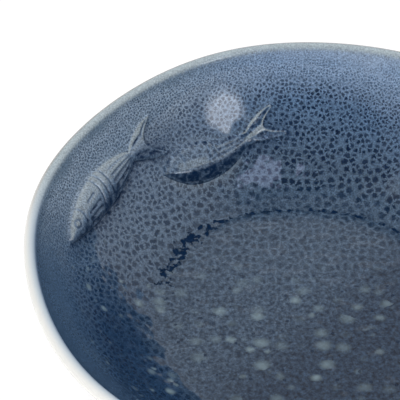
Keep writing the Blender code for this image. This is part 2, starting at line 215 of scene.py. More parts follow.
class Section:
    """The bowl's half section: dished floor, heel and wall, each an arc, that end at the lip's centre."""

    def __init__(self, sizes):
        self.sizes = sizes
        half = sizes.wall_thickness / 2
        floor_radius = sizes.floor_diameter / 2 / math.sin(sizes.floor_angle)
        floor_end = floor_radius * sizes.floor_angle
        wall_start = floor_end + sizes.heel_radius * (sizes.heel_angle - sizes.floor_angle)
        floor_z = sizes.foot_height + half + floor_radius
        reach = floor_radius - sizes.heel_radius
        heel = (reach * math.sin(sizes.floor_angle), floor_z - reach * math.cos(sizes.floor_angle))
        heel_r = heel[0] + sizes.heel_radius * math.sin(sizes.heel_angle)
        heel_z = heel[1] - sizes.heel_radius * math.cos(sizes.heel_angle)
        chord_r = sizes.rim_diameter / 2 - half - heel_r
        chord_z = sizes.bowl_height - half - heel_z
        half_turn = math.atan2(chord_z, chord_r) - sizes.heel_angle
        wall_radius = math.hypot(chord_r, chord_z) / (2 * math.sin(half_turn))
        self.inside = -half
        self.outside = half
        self.starts = np.array((0.0, floor_end, wall_start))
        self.turns = np.array((0.0, sizes.floor_angle, sizes.heel_angle))
        self.radii = np.array((floor_radius, sizes.heel_radius, wall_radius))
        self.centre_r = np.array((0.0, heel[0], heel_r - wall_radius * math.sin(sizes.heel_angle)))
        self.centre_z = np.array((floor_z, heel[1], heel_z + wall_radius * math.cos(sizes.heel_angle)))
        self.length = wall_start + wall_radius * 2 * half_turn
        self.lip_angle = self.angle(self.length)
        self.spread = self.conformal()

    def arc(self, along):
        """Which arc the places at distances along the line lie on: 0 the floor, 1 the heel, 2 the wall."""
        return np.clip(np.searchsorted(self.starts, along, side="right") - 1, 0, 2)

    def angle(self, along):
        """Slope of the line at distances along it."""
        index = self.arc(along)
        return self.turns[index] + (along - self.starts[index]) / self.radii[index]

    def point(self, along, offset):
        """Radius and height at distances along the line and offsets from it, positive to the outside."""
        index = self.arc(along)
        angle = self.angle(along)
        reach = self.radii[index] + offset
        return self.centre_r[index] + reach * np.sin(angle), self.centre_z[index] - reach * np.cos(angle)

    def locate(self, radius, height):
        """Distance along the line of the places that lie beside these points."""
        angles = [np.arctan2(radius - r, z - height) for r, z in zip(self.centre_r, self.centre_z)]
        alongs = [self.starts[i] + (angles[i] - self.turns[i]) * self.radii[i] for i in range(3)]
        on_floor = angles[0] <= self.turns[1]
        on_heel = angles[1] <= self.turns[2]
        return np.where(on_floor, alongs[0], np.where(on_heel, alongs[1], alongs[2]))

    def conformal(self):
        """Samples of a spread that unrolls the inner face without stretching its small shapes."""
        along = np.linspace(self.starts[1], self.length + SPREAD_BEYOND, SPREAD_STEPS)
        radius, _ = self.point(along, self.inside)
        step = np.diff(along) * (1 + self.inside / self.radii[self.arc(along)])[1:]
        rise = np.concatenate(([0.0], np.cumsum(step / (radius[1:] + radius[:-1]) * 2)))
        return along, radius[0] * np.exp(rise)

    def spread_at(self, along):
        """Conformal radius of places on the inner face."""
        radius, _ = self.point(along, self.inside)
        return np.where(along < self.starts[1], radius, np.interp(along, *self.spread))

    def stations(self, start, end, counts):
        """Distances along the line from start to end, closer together round the heel."""
        ends = (0.0, self.starts[1] - HEEL_BEFORE, self.starts[2] + HEEL_BEFORE / 2, self.length)
        stops = [start]
        for low, high, steps in zip(ends, ends[1:], counts):
            stops += [along for along in np.linspace(low, high, steps + 1)[:-1] if start < along < end]
        return np.array(stops + [end])

    def run(self, start, end, offset, counts):
        """Outline points of a parallel of the line."""
        along = self.stations(start, end, counts)
        return list(zip(*self.point(along, offset)))

    def below(self, radius):
        """Distance along the line of the place under the floor that has this radius."""
        return self.radii[0] * math.asin(radius / (self.radii[0] + self.outside))

    def lip_arc(self, offset, radius, steps):
        """Half circle over the end of the line, from inside to outside."""
        centre_r, centre_z = self.point(self.length, offset)
        turns = self.lip_angle + math.pi / 2 * (1 - 2 * np.arange(steps + 1) / steps)
        return list(zip(centre_r + radius * np.cos(turns), centre_z + radius * np.sin(turns)))

    def lobed(self, co):
        """Moves points with the soft lobes, which grow from the foot to their full height at the rim."""
        radius, azimuth = polar(co)
        push = self.sizes.lobe_height * (co[:, 2] / self.sizes.bowl_height) ** 2
        wave = np.cos(self.sizes.lobe_count * (azimuth - self.sizes.lobe_crest))
        scale = 1 + push * wave / np.maximum(radius, MERGE_DISTANCE)
        co[:, 0] *= scale
        co[:, 1] *= scale
        return co


# Meshes

def coordinates(obj):
    """The vertices of a piece as an array."""
    co = np.empty(len(obj.data.vertices) * 3)
    obj.data.vertices.foreach_get("co", co)
    return co.reshape(-1, 3)


def polar(co):
    """Radius and azimuth of points."""
    return np.hypot(co[:, 0], co[:, 1]), np.arctan2(co[:, 1], co[:, 0])


def place(obj, co):
    """Moves the vertices of a piece."""
    obj.data.vertices.foreach_set("co", co.ravel())
    obj.data.update()


def turned(name, outline):
    """Draws an outline of (radius, height) points by extruding a vertex, and spins it about Z."""
    bpy.ops.object.select_all(action="DESELECT")
    start_r, start_z = outline[0]
    bpy.ops.mesh.primitive_plane_add(size=SEED_SIZE, location=(start_r, 0, start_z))
    obj = bpy.context.object
    obj.name = obj.data.name = name
    bpy.ops.object.transform_apply(location=True, rotation=False, scale=False)
    bpy.ops.object.mode_set(mode="EDIT")
    bpy.ops.mesh.select_all(action="SELECT")
    bpy.ops.mesh.merge(type="CENTER")
    for (r0, z0), (r1, z1) in zip(outline, outline[1:]):
        bpy.ops.mesh.extrude_vertices_move(TRANSFORM_OT_translate={"value": (r1 - r0, 0, z1 - z0)})
    bpy.ops.mesh.select_all(action="SELECT")
    bpy.ops.mesh.spin(steps=SEGMENTS, angle=math.tau, center=(0, 0, 0), axis=(0, 0, 1))
    bpy.ops.mesh.select_all(action="SELECT")
    bpy.ops.mesh.remove_doubles(threshold=MERGE_DISTANCE)
    bpy.ops.mesh.normals_make_consistent(inside=False)
    bpy.ops.object.mode_set(mode="OBJECT")
    return obj


def dress(obj, material, node):
    """Smooths a finished piece, gives it its material and sets it in the frame."""
    bpy.ops.object.select_all(action="DESELECT")
    obj.select_set(True)
    bpy.context.view_layer.objects.active = obj
    bpy.ops.object.shade_smooth_by_angle(angle=SMOOTH_ANGLE)
    obj.data.materials.clear()
    obj.data.materials.append(material)
    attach(obj, BODY)
    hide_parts(node)


MAP_TURNS = 2  # turns of the glaze map for one turn of the bowl
# The second note holds pale and pooled glaze together with the painted light and shade on and round the fish
GLAZE_NOTES = ("drop_mm", "thin_glaze_and_painted_light", "dotted", "trough", "satin")


def glaze_map(obj, section, azimuth, along):
    """Unrolls the inner face several times round, so that the pattern gets finer upwards; mm at the lip."""
    lip_radius, _ = section.point(section.length, section.inside)
    scale = lip_radius / (MAP_TURNS * MM * section.spread_at(section.length) ** MAP_TURNS)
    reach = scale * section.spread_at(along) ** MAP_TURNS
    uv = np.stack((reach * np.cos(MAP_TURNS * azimuth), reach * np.sin(MAP_TURNS * azimuth)), axis=1)
    corners = np.empty(len(obj.data.loops), dtype=np.int32)
    obj.data.loops.foreach_get("vertex_index", corners)
    layer = obj.data.uv_layers.new(name="glaze")
    layer.data.foreach_set("uv", uv[corners].astype(np.float32).ravel())


def note_glaze(obj, drop, thin_glaze_and_painted_light=0.0, dotted=1.0, trough=0.0, satin=0.0):
    """Writes on each vertex, for the material, its drop below the lip, what the glaze does there and where
    light and shade are painted.
    """
    for name, values in zip(GLAZE_NOTES, (drop / MM, thin_glaze_and_painted_light, dotted, trough, satin)):
        layer = obj.data.attributes.new(name, "FLOAT", "POINT")
        layer.data.foreach_set("value", np.broadcast_to(values, drop.shape).astype(np.float32))


def smooth(low, high, value):
    """Smooth step from 0 at low to 1 at high."""
    share = np.clip((value - low) / (high - low), 0, 1)
    return share * share * (3 - 2 * share)


def between(value, start, rise, end, fall):
    """1 between start and end, with smooth slopes of the lengths rise and fall at its ends."""
    return smooth(start, start + rise, value) * smooth(-end, -end + fall, -value)


def groove(distance, width):
    """Depth of a round-bottomed groove as a share of its deepest."""
    return np.exp(-((distance / width) ** 2))


def blurred(field, passes):
    """A grid of numbers, softened."""
    for _ in range(passes):
        padded = np.pad(field, 1, mode="edge")
        beside = padded[:-2, 1:-1] + padded[2:, 1:-1] + padded[1:-1, :-2] + padded[1:-1, 2:]
        field = (beside + 2 * field) / 6
    return field


def half_power(spot):
    """Power that moves this share of a length to its middle."""
    return math.log(0.5) / math.log(spot)


# Plan of a fish
FOLLOW_PASSES = 8  # that find the place along a bent fish
LIFT_POWER = 0.7  # below 1 the tail's lobes curve sooner
TAIL_FLARE = 1.8  # above 1 the tail spreads sooner
TAIL_HOLLOW = 1.6  # above 1 the fork opens sooner
TAIL_BEFORE = 7 * MM  # the body starts to hand over to the tail this far before its root
FORK_SLANT = 0.8  # the fork's edge runs slanting, so a distance across it counts for less
SNOUT_CAP = 0.5  # the snout is capped by this share of its half depth
SLOPE_STEP = 0.2 * MM
LOBE_LEAST = 0.4 * MM  # width of a lobe of the tail, at the least


class FishPlan:
    """A fish on the wall: x runs along the wall from the snout and y up the wall."""

    def __init__(self, fish, section):
        self.section = section
        self.fish = fish
        self.body = fish.length - fish.tail_length
        self.along = section.length - fish.drop
        self.seat_radius, _ = section.point(self.along, section.inside)

    def follow(self, x, y):
        """Distance along the fish's middle line, and across it towards the back."""
        skew = half_power(self.fish.sag_at)
        reach = x.copy()
        for _ in range(FOLLOW_PASSES):
            inside = np.clip(reach, 0, self.body)
            share = inside / self.body
            phase = math.pi * share**skew
            steep = math.pi * skew * share ** (skew - 1) / self.body
            slope = -np.arctan(self.fish.arch * steep * np.cos(phase))
            past = reach - inside
            dx = x - inside - past * np.cos(slope)
            dy = y + self.fish.arch * np.sin(phase) - past * np.sin(slope)
            reach += dx * np.cos(slope) + dy * np.sin(slope)
        lift = self.fish.tail_lift * np.sin(math.pi * self.tail(reach) ** LIFT_POWER)
        return reach, dy * np.cos(slope) - dx * np.sin(slope) - lift

    def tail(self, reach):
        """Share of the tail's length, 0 on the body."""
        return np.clip((reach - self.body) / self.fish.tail_length, 0, 1)

    def on_tail(self, reach):
        """1 on the tail and 0 on the body."""
        return smooth(self.body - TAIL_BEFORE, self.body, reach)

    def swell(self, share):
        """Depth of the body as a share of its deepest."""
        swollen = np.sin(math.pi * share ** half_power(self.fish.fullest))
        return np.maximum(0.0, swollen) ** self.fish.fullness

    def outline(self, reach):
        """Half depth of the body or tail, and half width of the fork, along the fish."""
        fish = self.fish
        share = np.clip(reach / self.body, 0, 1)
        taper = fish.snout_half + (fish.root_half - fish.snout_half) * share
        body = taper + (fish.depth / 2 - taper) * self.swell(share)
        tail = self.tail(reach)
        spread = fish.tail_span / 2 - fish.root_half
        outer = fish.root_half + spread * (1 - (1 - tail) ** TAIL_FLARE)
        past = np.clip((tail - fish.tail_notch) / (1 - fish.tail_notch), 0, 1) ** (1 / TAIL_HOLLOW)
        fork = (fish.tail_span / 2 - fish.tail_tip) * past
        return np.where(reach > self.body, outer, body), np.where(tail > fish.tail_notch, fork, -1.0)

    def side(self, reach, across):
        """Place across the fish, from -1 at the belly to 1 at the back."""
        return across / self.outline(reach)[0]

    def depth_inside(self, reach, across):
        """Rough distance inside the outline, negative outside it."""
        half, fork = self.outline(reach)
        ahead, _ = self.outline(reach + SLOPE_STEP)
        behind, _ = self.outline(reach - SLOPE_STEP)
        lean = (ahead - behind) / (2 * SLOPE_STEP)
        inside = (half - np.abs(across)) / np.sqrt(1 + lean * lean)
        inside = np.minimum(inside, np.where(fork >= 0, (np.abs(across) - fork) * FORK_SLANT, inside))
        inside = np.minimum(inside, reach + self.fish.snout_half * SNOUT_CAP)
        return np.minimum(inside, self.fish.length - reach)

    def lobe(self, reach, across):
        """Place across a lobe of the tail, from 0 at the fork to 1 at its outer edge, and its width."""
        half, fork = self.outline(reach)
        inner = np.maximum(fork, 0)
        width = np.maximum(half - inner, LOBE_LEAST)
        return (np.abs(across) - inner) / width, width

    def seat(self, x, y, height):
        """Azimuth, distance along the line and place in space of plan points, at heights over the lining."""
        azimuth = self.fish.snout_angle - x / self.seat_radius
        along = self.along + y
        radius, z = self.section.point(along, self.section.inside - height)
        co = np.stack((radius * np.cos(azimuth), radius * np.sin(azimuth), z), axis=1)
        return azimuth, along, self.section.lobed(co)


# Relief of a fish; peak is where the top of its flank lies across it, and ridge is 0 for a domed flank and
# 1 for a keeled one
FISH_CELL = 0.36 * MM  # of the grid that a fish is modelled on
GRID_ROUNDING = 1e-7
GRID_ENDS = 3 * MM  # room round a fish on its grid
GRID_BELOW = 5 * MM
GRID_ABOVE = 7 * MM
FISH_FILLET = 1.0 * MM  # reach of the soft foot of the relief, outside the outline
FISH_MARGIN = 1.6 * MM  # strip kept outside the outline, sunk below the lining
FISH_SINK = 0.40 * MM
FISH_BACKING = 0.55 * MM  # below the sunk strip, inside the clay
FISH_LEAST = 0.15 * MM  # the marks leave at least this much relief
FISH_SOFTENING = 3  # passes that round the relief as thick glaze does
FISH_FLOW = 24  # passes that tell a ridge from a hollow
END_CROWN = 0.3  # height of the snout and the tail, as a share of the relief
DOME_POWER = 2.2
KEEL_POWER = 1.6  # of the belly's side of a keel
KEEL_FALL = 0.88  # of its straight slope to the back
KEEL_DIP = 0.20  # a keel starts this much lower at the snout
KEEL_DIP_ENDS = (4 * MM, 32 * MM)
FIN_ROOT = 1.25  # height of the tail at its root, its fall to the tips and its edges' height, as shares
FIN_FALL = 0.6
FIN_EDGE = 0.55
EDGE_REACH = 0.7 * MM  # over which the edge rises, and what is added to it along the back
BACK_REACH = 0.6 * MM
KEEL_BACK_REACH = 2.6 * MM


def crest(peak, ridge, reach):
    """Where the top of the flank lies across the fish; a keeled one starts lower at the snout."""
    return peak - KEEL_DIP * ridge * (1 - smooth(*KEEL_DIP_ENDS, reach))


def body_form(plan, reach, across, peak, ridge):
    """Height of a fish's smooth body and tail."""
    fish = plan.fish
    half, fork = plan.outline(reach)
    side = across / half
    peak = crest(peak, ridge, reach)
    lean = np.where(side > peak, (side - peak) / (1 - peak), (peak - side) / (1 + peak))
    lean = np.clip(lean, 0, 1)
    dome = np.sqrt(np.maximum(0, 1 - lean**DOME_POWER))
    keel = np.where(side > peak, 1 - KEEL_FALL * lean, 1 - lean**KEEL_POWER)
    crown = END_CROWN + (1 - END_CROWN) * plan.swell(np.clip(reach / plan.body, 0, 1))
    body = fish.relief * crown * (dome * (1 - ridge) + keel * ridge)
    share, _ = plan.lobe(reach, across)
    lobe = np.where(fork >= 0, 1 - (2 * share - 1) ** 2, 1 - side**2)
    rounded = FIN_EDGE + (1 - FIN_EDGE) * np.sqrt(np.clip(lobe, 0, 1))
    fin = fish.relief * END_CROWN * (FIN_ROOT - FIN_FALL * plan.tail(reach)) * rounded
    blend = smooth(plan.body - 4 * MM, plan.body + 2 * MM, reach)
    return body * (1 - blend) + fin * blend


# Marks of the large fish: places in mm from the snout or in shares across it, depths and widths in mm
EYE_PLACE = (9.2, 1.8)
EYE_RADIUS = 2.1
GILL_PLACE = 16.6
# Place across, depth, start and end of the grooves on the flank
FLANKS = (
    (0.40, 0.8, 22.5, 32.0),
    (-0.12, 1.1, 19.5, 33.0),
    (-0.46, 1.4, 18.0, 31.5),
    (-0.76, 1.4, 17.5, 30.0),
)
# Place along, top and bow of the bands
BANDS = ((35.8, 0.42, 2.9), (40.3, 0.32, 2.7), (44.8, 0.25, 2.3))
# Place across, depth and start of the flutes before the tail
FLUTES = (
    (0.58, 0.6, 48.0),
    (0.22, 0.9, 47.0),
    (-0.14, 1.4, 46.5),
    (-0.48, 1.5, 46.0),
    (-0.82, 1.3, 45.0),
)
FLUTE_END = 70.0
# Marks of the small fish, likewise
SMALL_GILL_PLACE = 13.0
SMALL_BANDS = (28.8, 32.6)
SMALL_FLUTES = ((0.70, 35.0), (0.34, 34.5), (0.04, 34.0))
SMALL_FLUTE_END = 57.0
SMALL_FLUTE_DEPTH = 0.75
FLUTE_RISE = 2.5
FLUTE_FALL = 6.0


def large_marks(plan, reach, across):
    """Incised marks of the large fish: eye, gill, flank grooves, bands and the flutes before the tail."""
    half, _ = plan.outline(reach)
    side = across / half
    t = reach / MM
    eye = np.hypot(t - EYE_PLACE[0], across / MM - EYE_PLACE[1])
    cut = 0.80 * groove(eye - EYE_RADIUS, 0.6) - 0.20 * groove(eye, 1.0)
    gill = GILL_PLACE - 3.2 * (side - 0.25) ** 2
    cut += 0.75 * groove(t - gill, 0.70) * smooth(-0.9, -0.6, side)
    for centre, deep, start, end in FLANKS:
        held = between(t, start, 1.5, end, 1.5)
        cut += deep * groove((side - centre) * half / MM, 0.70 * deep) * held
    for centre, top, bow in BANDS:
        cut += 0.90 * groove(t - (centre - bow * (side - top) ** 2), 0.60)
    for centre, deep, start in FLUTES:
        held = between(t, start, FLUTE_RISE, FLUTE_END, FLUTE_FALL)
        cut += deep * groove((side - centre) * half / MM, 0.62 * deep) * held
    return cut * MM


def small_marks(plan, reach, across):
    """Marks of the small fish, half drowned in glaze: a gill, two bands and flutes before the tail."""
    half, _ = plan.outline(reach)
    side = across / half
    t = reach / MM
    upper = smooth(-0.2, 0.1, side)
    cut = 0.25 * groove(t - (SMALL_GILL_PLACE - 2.0 * side**2), 0.7) * upper
    for centre in SMALL_BANDS:
        cut += 0.35 * groove(t - (centre + 2.0 * side), 0.70) * upper
    for centre, start in SMALL_FLUTES:
        held = between(t, start, FLUTE_RISE, SMALL_FLUTE_END, FLUTE_FALL)
        cut += SMALL_FLUTE_DEPTH * groove((side - centre) * half / MM, 0.75) * held
    return cut * MM


def tail_marks(plan, reach, across, ridge):
    """A hollow along the middle of both lobes of the tail, broader on a keeled fish."""
    share, width = plan.lobe(reach, across)
    held = between((reach - plan.body) / plan.fish.tail_length, 0.10, 0.25, 1.0, 0.15)
    return 0.90 * MM * groove((share - 0.52) * width, 0.50 * MM + 0.25 * ridge * width) * held


def fish_height(plan, reach, across, inside, peak, ridge, marks):
    """Height of a fish above the lining."""
    form = body_form(plan, reach, across, peak, ridge)
    cut = marks(plan, reach, across) + tail_marks(plan, reach, across, ridge)
    cut *= smooth(0.1 * MM, 1.0 * MM, inside)
    soft = smooth(-0.3, 0.3, plan.side(reach, across)) * (1 - plan.on_tail(reach))
    high = EDGE_REACH + (BACK_REACH + KEEL_BACK_REACH * ridge) * soft
    edge = smooth(0, 1, (inside + FISH_FILLET) / (high + FISH_FILLET))
    sunk = FISH_SINK * smooth(-0.5 * FISH_FILLET, FISH_FILLET * 1.2, -inside)
    return np.maximum(form - cut, FISH_LEAST) * edge - sunk


# Spacing of the dark beads of glaze along a keeled back, and how unevenly they follow one another
BEAD_MM = 4.7
BEAD_DRIFT_MM = 3.1


def keel_glaze_and_painted_light(reach, inside, side, back, peak, ridge):
    """Keeled flank: pale keel, pooled glaze and painted shade on the belly, painted glints along its foot,
    beads above.
    """
    top = crest(peak, ridge, reach)
    # The belly's flank darkens, partly pooled glaze and partly painted shade
    keel = 0.45 * groove(side - top, 0.06) - 1.15 * smooth(0.05, 0.26, top - side)
    # Painted highlight: a pale line that stands for glints along the belly's foot
    foot = smooth(-1.6 * MM, -0.5 * MM, -inside) * (1 - back)
    keel = keel * (1 - foot) + 0.8 * foot
    cheek = between(reach, 6 * MM, 4 * MM, 29 * MM, 4 * MM)
    keel += 0.55 * cheek * smooth(-0.02, 0.05, side - top) * smooth(-0.30, -0.10, -side)
    drift = 0.3 * np.sin(reach / (BEAD_DRIFT_MM * MM))
    beads = smooth(-0.2, 0.7, np.sin(math.tau * (reach / (BEAD_MM * MM) + drift)))
    return keel - 1.6 * back * beads * groove(inside - 1.0 * MM, 1.3 * MM)


def tail_glaze_and_painted_light(plan, reach, across, back, ridge):
    """Glaze on the tail, pale on the upper lobe's outer edge and round the fork, pooled between; the upper
    lobe's edge is partly painted light.
    """
    share, _ = plan.lobe(reach, across)
    outer = smooth(0.56 + 0.12 * ridge, 0.68 + 0.12 * ridge, share)
    ending = smooth(-1.0, -0.8, -(reach - plan.body) / plan.fish.tail_length)
    middle = groove(share - 0.48, 0.13 + 0.09 * ridge) * ending
    inner = ridge * smooth(-0.36, -0.16, -share)
    upper = (1.1 * outer - 1.0 * middle + 1.0 * inner) * back
    # Painted shade: on the large fish the lower lobe, on the belly's side, is a little darker
    lower = (0.3 * ridge - 0.15 - 0.35 * (1 - ridge) * middle + 1.1 * inner) * (1 - back)
    return upper + lower


def fish_glaze_and_painted_light(plan, reach, across, inside, heights, peak, ridge):
    """Paler above 0, from glaze that runs thinner and from painted light, darker below 0, from pooled glaze
    and painted shade.
    """
    side = plan.side(reach, across)
    on_tail = plan.on_tail(reach)
    back = smooth(-0.2, 0.4, side)
    raised = np.maximum(heights, 0)
    thin_glaze_and_painted_light = (raised - blurred(raised, FISH_FLOW)) / (0.28 * MM) * (1 - 0.5 * ridge * (1 - on_tail))
    # Painted light: ridges break paler on the back's side; near the outline only the belly's side darkens,
    # partly pooled glaze and partly painted shade
    thin_glaze_and_painted_light = np.where(thin_glaze_and_painted_light > 0, (0.25 + 0.25 * back) * thin_glaze_and_painted_light, thin_glaze_and_painted_light)
    thin_glaze_and_painted_light = np.where(inside < 0.4 * MM, np.minimum(thin_glaze_and_painted_light, 0) * (1 - back), thin_glaze_and_painted_light)
    # Painted light and shade on a domed fish: its back paler and its belly darker
    dome = 0.48 - 1.60 * smooth(-0.40, 0.70, -side)
    keel = keel_glaze_and_painted_light(reach, inside, side, back, peak, ridge)
    fins = tail_glaze_and_painted_light(plan, reach, across, back, ridge)
    painted = dome * (1 - ridge) + keel * ridge * (1 - on_tail) + fins * on_tail
    return np.clip(thin_glaze_and_painted_light + smooth(0, 1.2 * MM, inside) * painted, -1, 1)


def fish_grid(name, fish):
    """A flat grid that has room for a fish."""
    low = np.array((-GRID_ENDS, -fish.arch - fish.depth / 2 - GRID_BELOW))
    high = np.array((fish.length + GRID_ENDS, max(fish.depth, fish.tail_span) / 2 + GRID_ABOVE))
    columns, rows = (int(count) for count in np.ceil((high - low) / FISH_CELL))
    bpy.ops.object.select_all(action="DESELECT")
    bpy.ops.mesh.primitive_grid_add(x_subdivisions=columns, y_subdivisions=rows, size=2)
    obj = bpy.context.object
    obj.name = obj.data.name = name
    co = coordinates(obj)
    co[:, :2] = low + (co[:, :2] + 1) / 2 * (high - low)
    place(obj, co)
    return obj


def fish_piece(name, plan, peak, ridge, marks):
    """Models a fish on a grid: cut to its outline, thickened, raised to its relief and bent to the wall."""
    obj = fish_grid(name, plan.fish)
    co = coordinates(obj)
    xs = np.unique(np.round(co[:, 0], 7))
    ys = np.unique(np.round(co[:, 1], 7))

    def cell(co):
        """Row and column of vertices in the grid."""
        return np.searchsorted(ys, co[:, 1] - GRID_ROUNDING), np.searchsorted(xs, co[:, 0] - GRID_ROUNDING)

    reach, across = plan.follow(*np.meshgrid(xs, ys))
    inside = plan.depth_inside(reach, across)
    heights = blurred(fish_height(plan, reach, across, inside, peak, ridge, marks), FISH_SOFTENING)
    thin_glaze_and_painted_light = fish_glaze_and_painted_light(plan, reach, across, inside, heights, peak, ridge)
    bpy.ops.object.mode_set(mode="EDIT")
    bpy.ops.mesh.select_mode(type="VERT")
    bpy.ops.mesh.select_all(action="DESELECT")
    bpy.ops.object.mode_set(mode="OBJECT")
    obj.data.vertices.foreach_set("select", inside[cell(co)] < -FISH_MARGIN)
    bpy.ops.object.mode_set(mode="EDIT")
    bpy.ops.mesh.delete(type="VERT")
    bpy.ops.mesh.select_all(action="SELECT")
    bpy.ops.mesh.extrude_region_move(TRANSFORM_OT_translate={"value": (0, 0, MM)})
    bpy.ops.object.mode_set(mode="OBJECT")
    co = coordinates(obj)
    cells = cell(co)
    top = co[:, 2] > MM / 2
    height = np.where(top, heights[cells], -FISH_SINK - FISH_BACKING)
    azimuth, along, spot = plan.seat(co[:, 0], co[:, 1], height)
    place(obj, spot)
    bpy.ops.object.mode_set(mode="EDIT")
    bpy.ops.mesh.select_all(action="SELECT")
    bpy.ops.mesh.normals_make_consistent(inside=False)
    bpy.ops.object.mode_set(mode="OBJECT")
    glaze_map(obj, plan.section, azimuth, along)
    dotted = 1 - 0.65 * (1 - ridge) * smooth(-FISH_FILLET, 2 * MM, inside[cells])
    note_glaze(obj, plan.section.length - along, np.where(top, thin_glaze_and_painted_light[cells], 0), dotted)
    return obj


# Materials

def wire(node, inputs):
    """Fills a node's inputs, by name or in the node's order, with values or links from other nodes.

    The order of a Map Range is its value, the range it comes from and the range it goes to.
    """
    for socket, value in inputs.items() if isinstance(inputs, dict) else enumerate(inputs):
        if isinstance(value, bpy.types.NodeSocket):
            node.id_data.links.new(value, node.inputs[socket])
        else:
            node.inputs[socket].default_value = value


def add_node(tree, kind, inputs=None, stops=None, **settings):
    """Adds a shader node with its settings and links, sets a ramp's stops and hands back its outputs."""
    node = tree.nodes.new("ShaderNode" + kind)
    for key, value in settings.items():
        setattr(node, key, value)
    wire(node, inputs or {})
    if stops:
        elements = node.color_ramp.elements
        while len(elements) < len(stops):
            elements.new(1.0)
        for element, (spot, colour) in zip(elements, stops):
            element.position = spot
            element.color = (*colour, 1.0)
    return node.outputs


def blank(name):
    """A new material, add_node bound to its tree, and its shader."""
    material = bpy.data.materials.new(name)
    material.use_nodes = True
    tree = material.node_tree
    return material, partial(add_node, tree), tree.nodes["Principled BSDF"]


def per_metre(size_mm):
    """Scale of a pattern on Object coordinates whose features have this size."""
    return 1000 / size_mm


BLUE = "reactive_blue_stoneware_glaze"
WHITE = "satin_white_stoneware_glaze"
CLAY = "bare_fired_stoneware"
SOFT = "SMOOTHSTEP"
GLAZE_IOR = 1.5

# Real sizes of the blue glaze's pattern
DOT_SPACING_MM = 1.85  # of the wall's dots at the lip; the map nearly trebles it at the heel
SIDE_SPACING_MM = 1.40  # of the finer dots under the lip and high on the left and right walls, likewise
BEND_PER_MM = 0.25  # slow bends of the wall's net, and how far they reach
BEND_MM = 1.0
FRAY_PER_MM = 1.3  # fraying of its dots, and how far it reaches
FRAY_MM = 1.3
CELL_RANDOMNESS = 0.85
FLOOR_CELL_MM = 5.0  # cells of the floor's net
SWAY_MM = 4.0  # bends of the floor's net, and how far they reach
MELT_MM = 1.9  # mottling between the cells
CRYSTAL_SPACING_MM = 8.5
CRYSTAL_SWAY_MM = 2.5
PIT_SPACING_MM = 21.0
DASH_MM = 3.2
FRINGE_MM = 1.6  # of the lip glaze's lower edge
PEBBLE_MM = 5.0  # swelling of the thick glaze
GRAIN_MM = 0.9
ZONE_MM = 110.0  # from the lip to well inside the floor
WANDER_SIZE_MM = 26.0
WANDER_MM = 14.0  # how far the zones wander up and down
LEAN_MM = 8.0  # how much lower they lie on the left
LIP_REACH_MM = 8.0  # round the lip, from the inside to the white coat
# Where parts of the pattern start and where they are full: across the bowl, or in depth below the lip
WEST_SIDE = (-12 * MM, -95 * MM)
CALM_SIDE = (38 * MM, -35 * MM)
NEAR_SIDE = (40 * MM, 0.0)
LEANING_SIDE = (45 * MM, -40 * MM)
FAR_LIP = (-15 * MM, 45 * MM)
SHADED_SIDE = (-20 * MM, 34 * MM)
WIDE_NET_LEFT = 24 * MM  # the wide net's middle lies this far left of the bowl's
FINE_NET_ASIDE = (49 * MM, 53 * MM)
FINE_NET_HIGH_MM = (52.0, 48.0)
FINE_NET_TOP_MM = (31.0, 26.0)
FLOOR_DEPTH_MM = (92.0, 112.0)
CRYSTAL_DEPTH_MM = (36.0, 66.0)
LARGE_CRYSTAL_DEPTH_MM = (85.0, 112.0)
PEBBLE_DEPTH_MM = (35.0, 62.0)
# The lip glaze's edge on the near and on the far side: its start, its end and the height of its fringe
LIP_START_MM = (1.8, 3.6)
LIP_END_MM = (-1.2, -0.6)
FRINGE_HEIGHT_MM = (0.6, 3.0)
NOISE_RANGE = (0.34, 0.66)  # most of a noise's values lie in it
# Height of the surfaces' unevenness
SKIN_BUMP = 0.26 * MM
WHITE_BUMP = 0.10 * MM
CLAY_BUMP = 0.15 * MM


def glaze_cells(put, vector, spacing, sizes, soft, thread, middle):
    """Depth of glaze in a net of cells: 0 on the threads of the net, 1 in the dark spot of each cell."""
    cells = {"Vector": vector, "Scale": 1 / spacing, "Randomness": CELL_RANDOMNESS}
    spots = put("TexVoronoi", cells, voronoi_dimensions="2D")
    edges = put("TexVoronoi", cells, voronoi_dimensions="2D", feature="DISTANCE_TO_EDGE")["Distance"]
    luck = put("SeparateColor", {"Color": spots["Color"]})
    reach = put("MapRange", (luck[0], 0.0, 1.0, sizes[0], sizes[1]))[0]
    inner = put("Math", (reach, soft), operation="SUBTRACT")[0]
    outer = put("Math", (reach, soft), operation="ADD")[0]
    strength = put("MapRange", (luck[1], 0.0, 1.0, 0.80))[0]
    core = put("MapRange", (spots["Distance"], inner, outer, strength, middle), interpolation_type=SOFT)[0]
    inside = put("MapRange", (edges, 0.0, thread), interpolation_type=SOFT)[0]
    return put("Math", (core, inside), operation="MULTIPLY")[0]


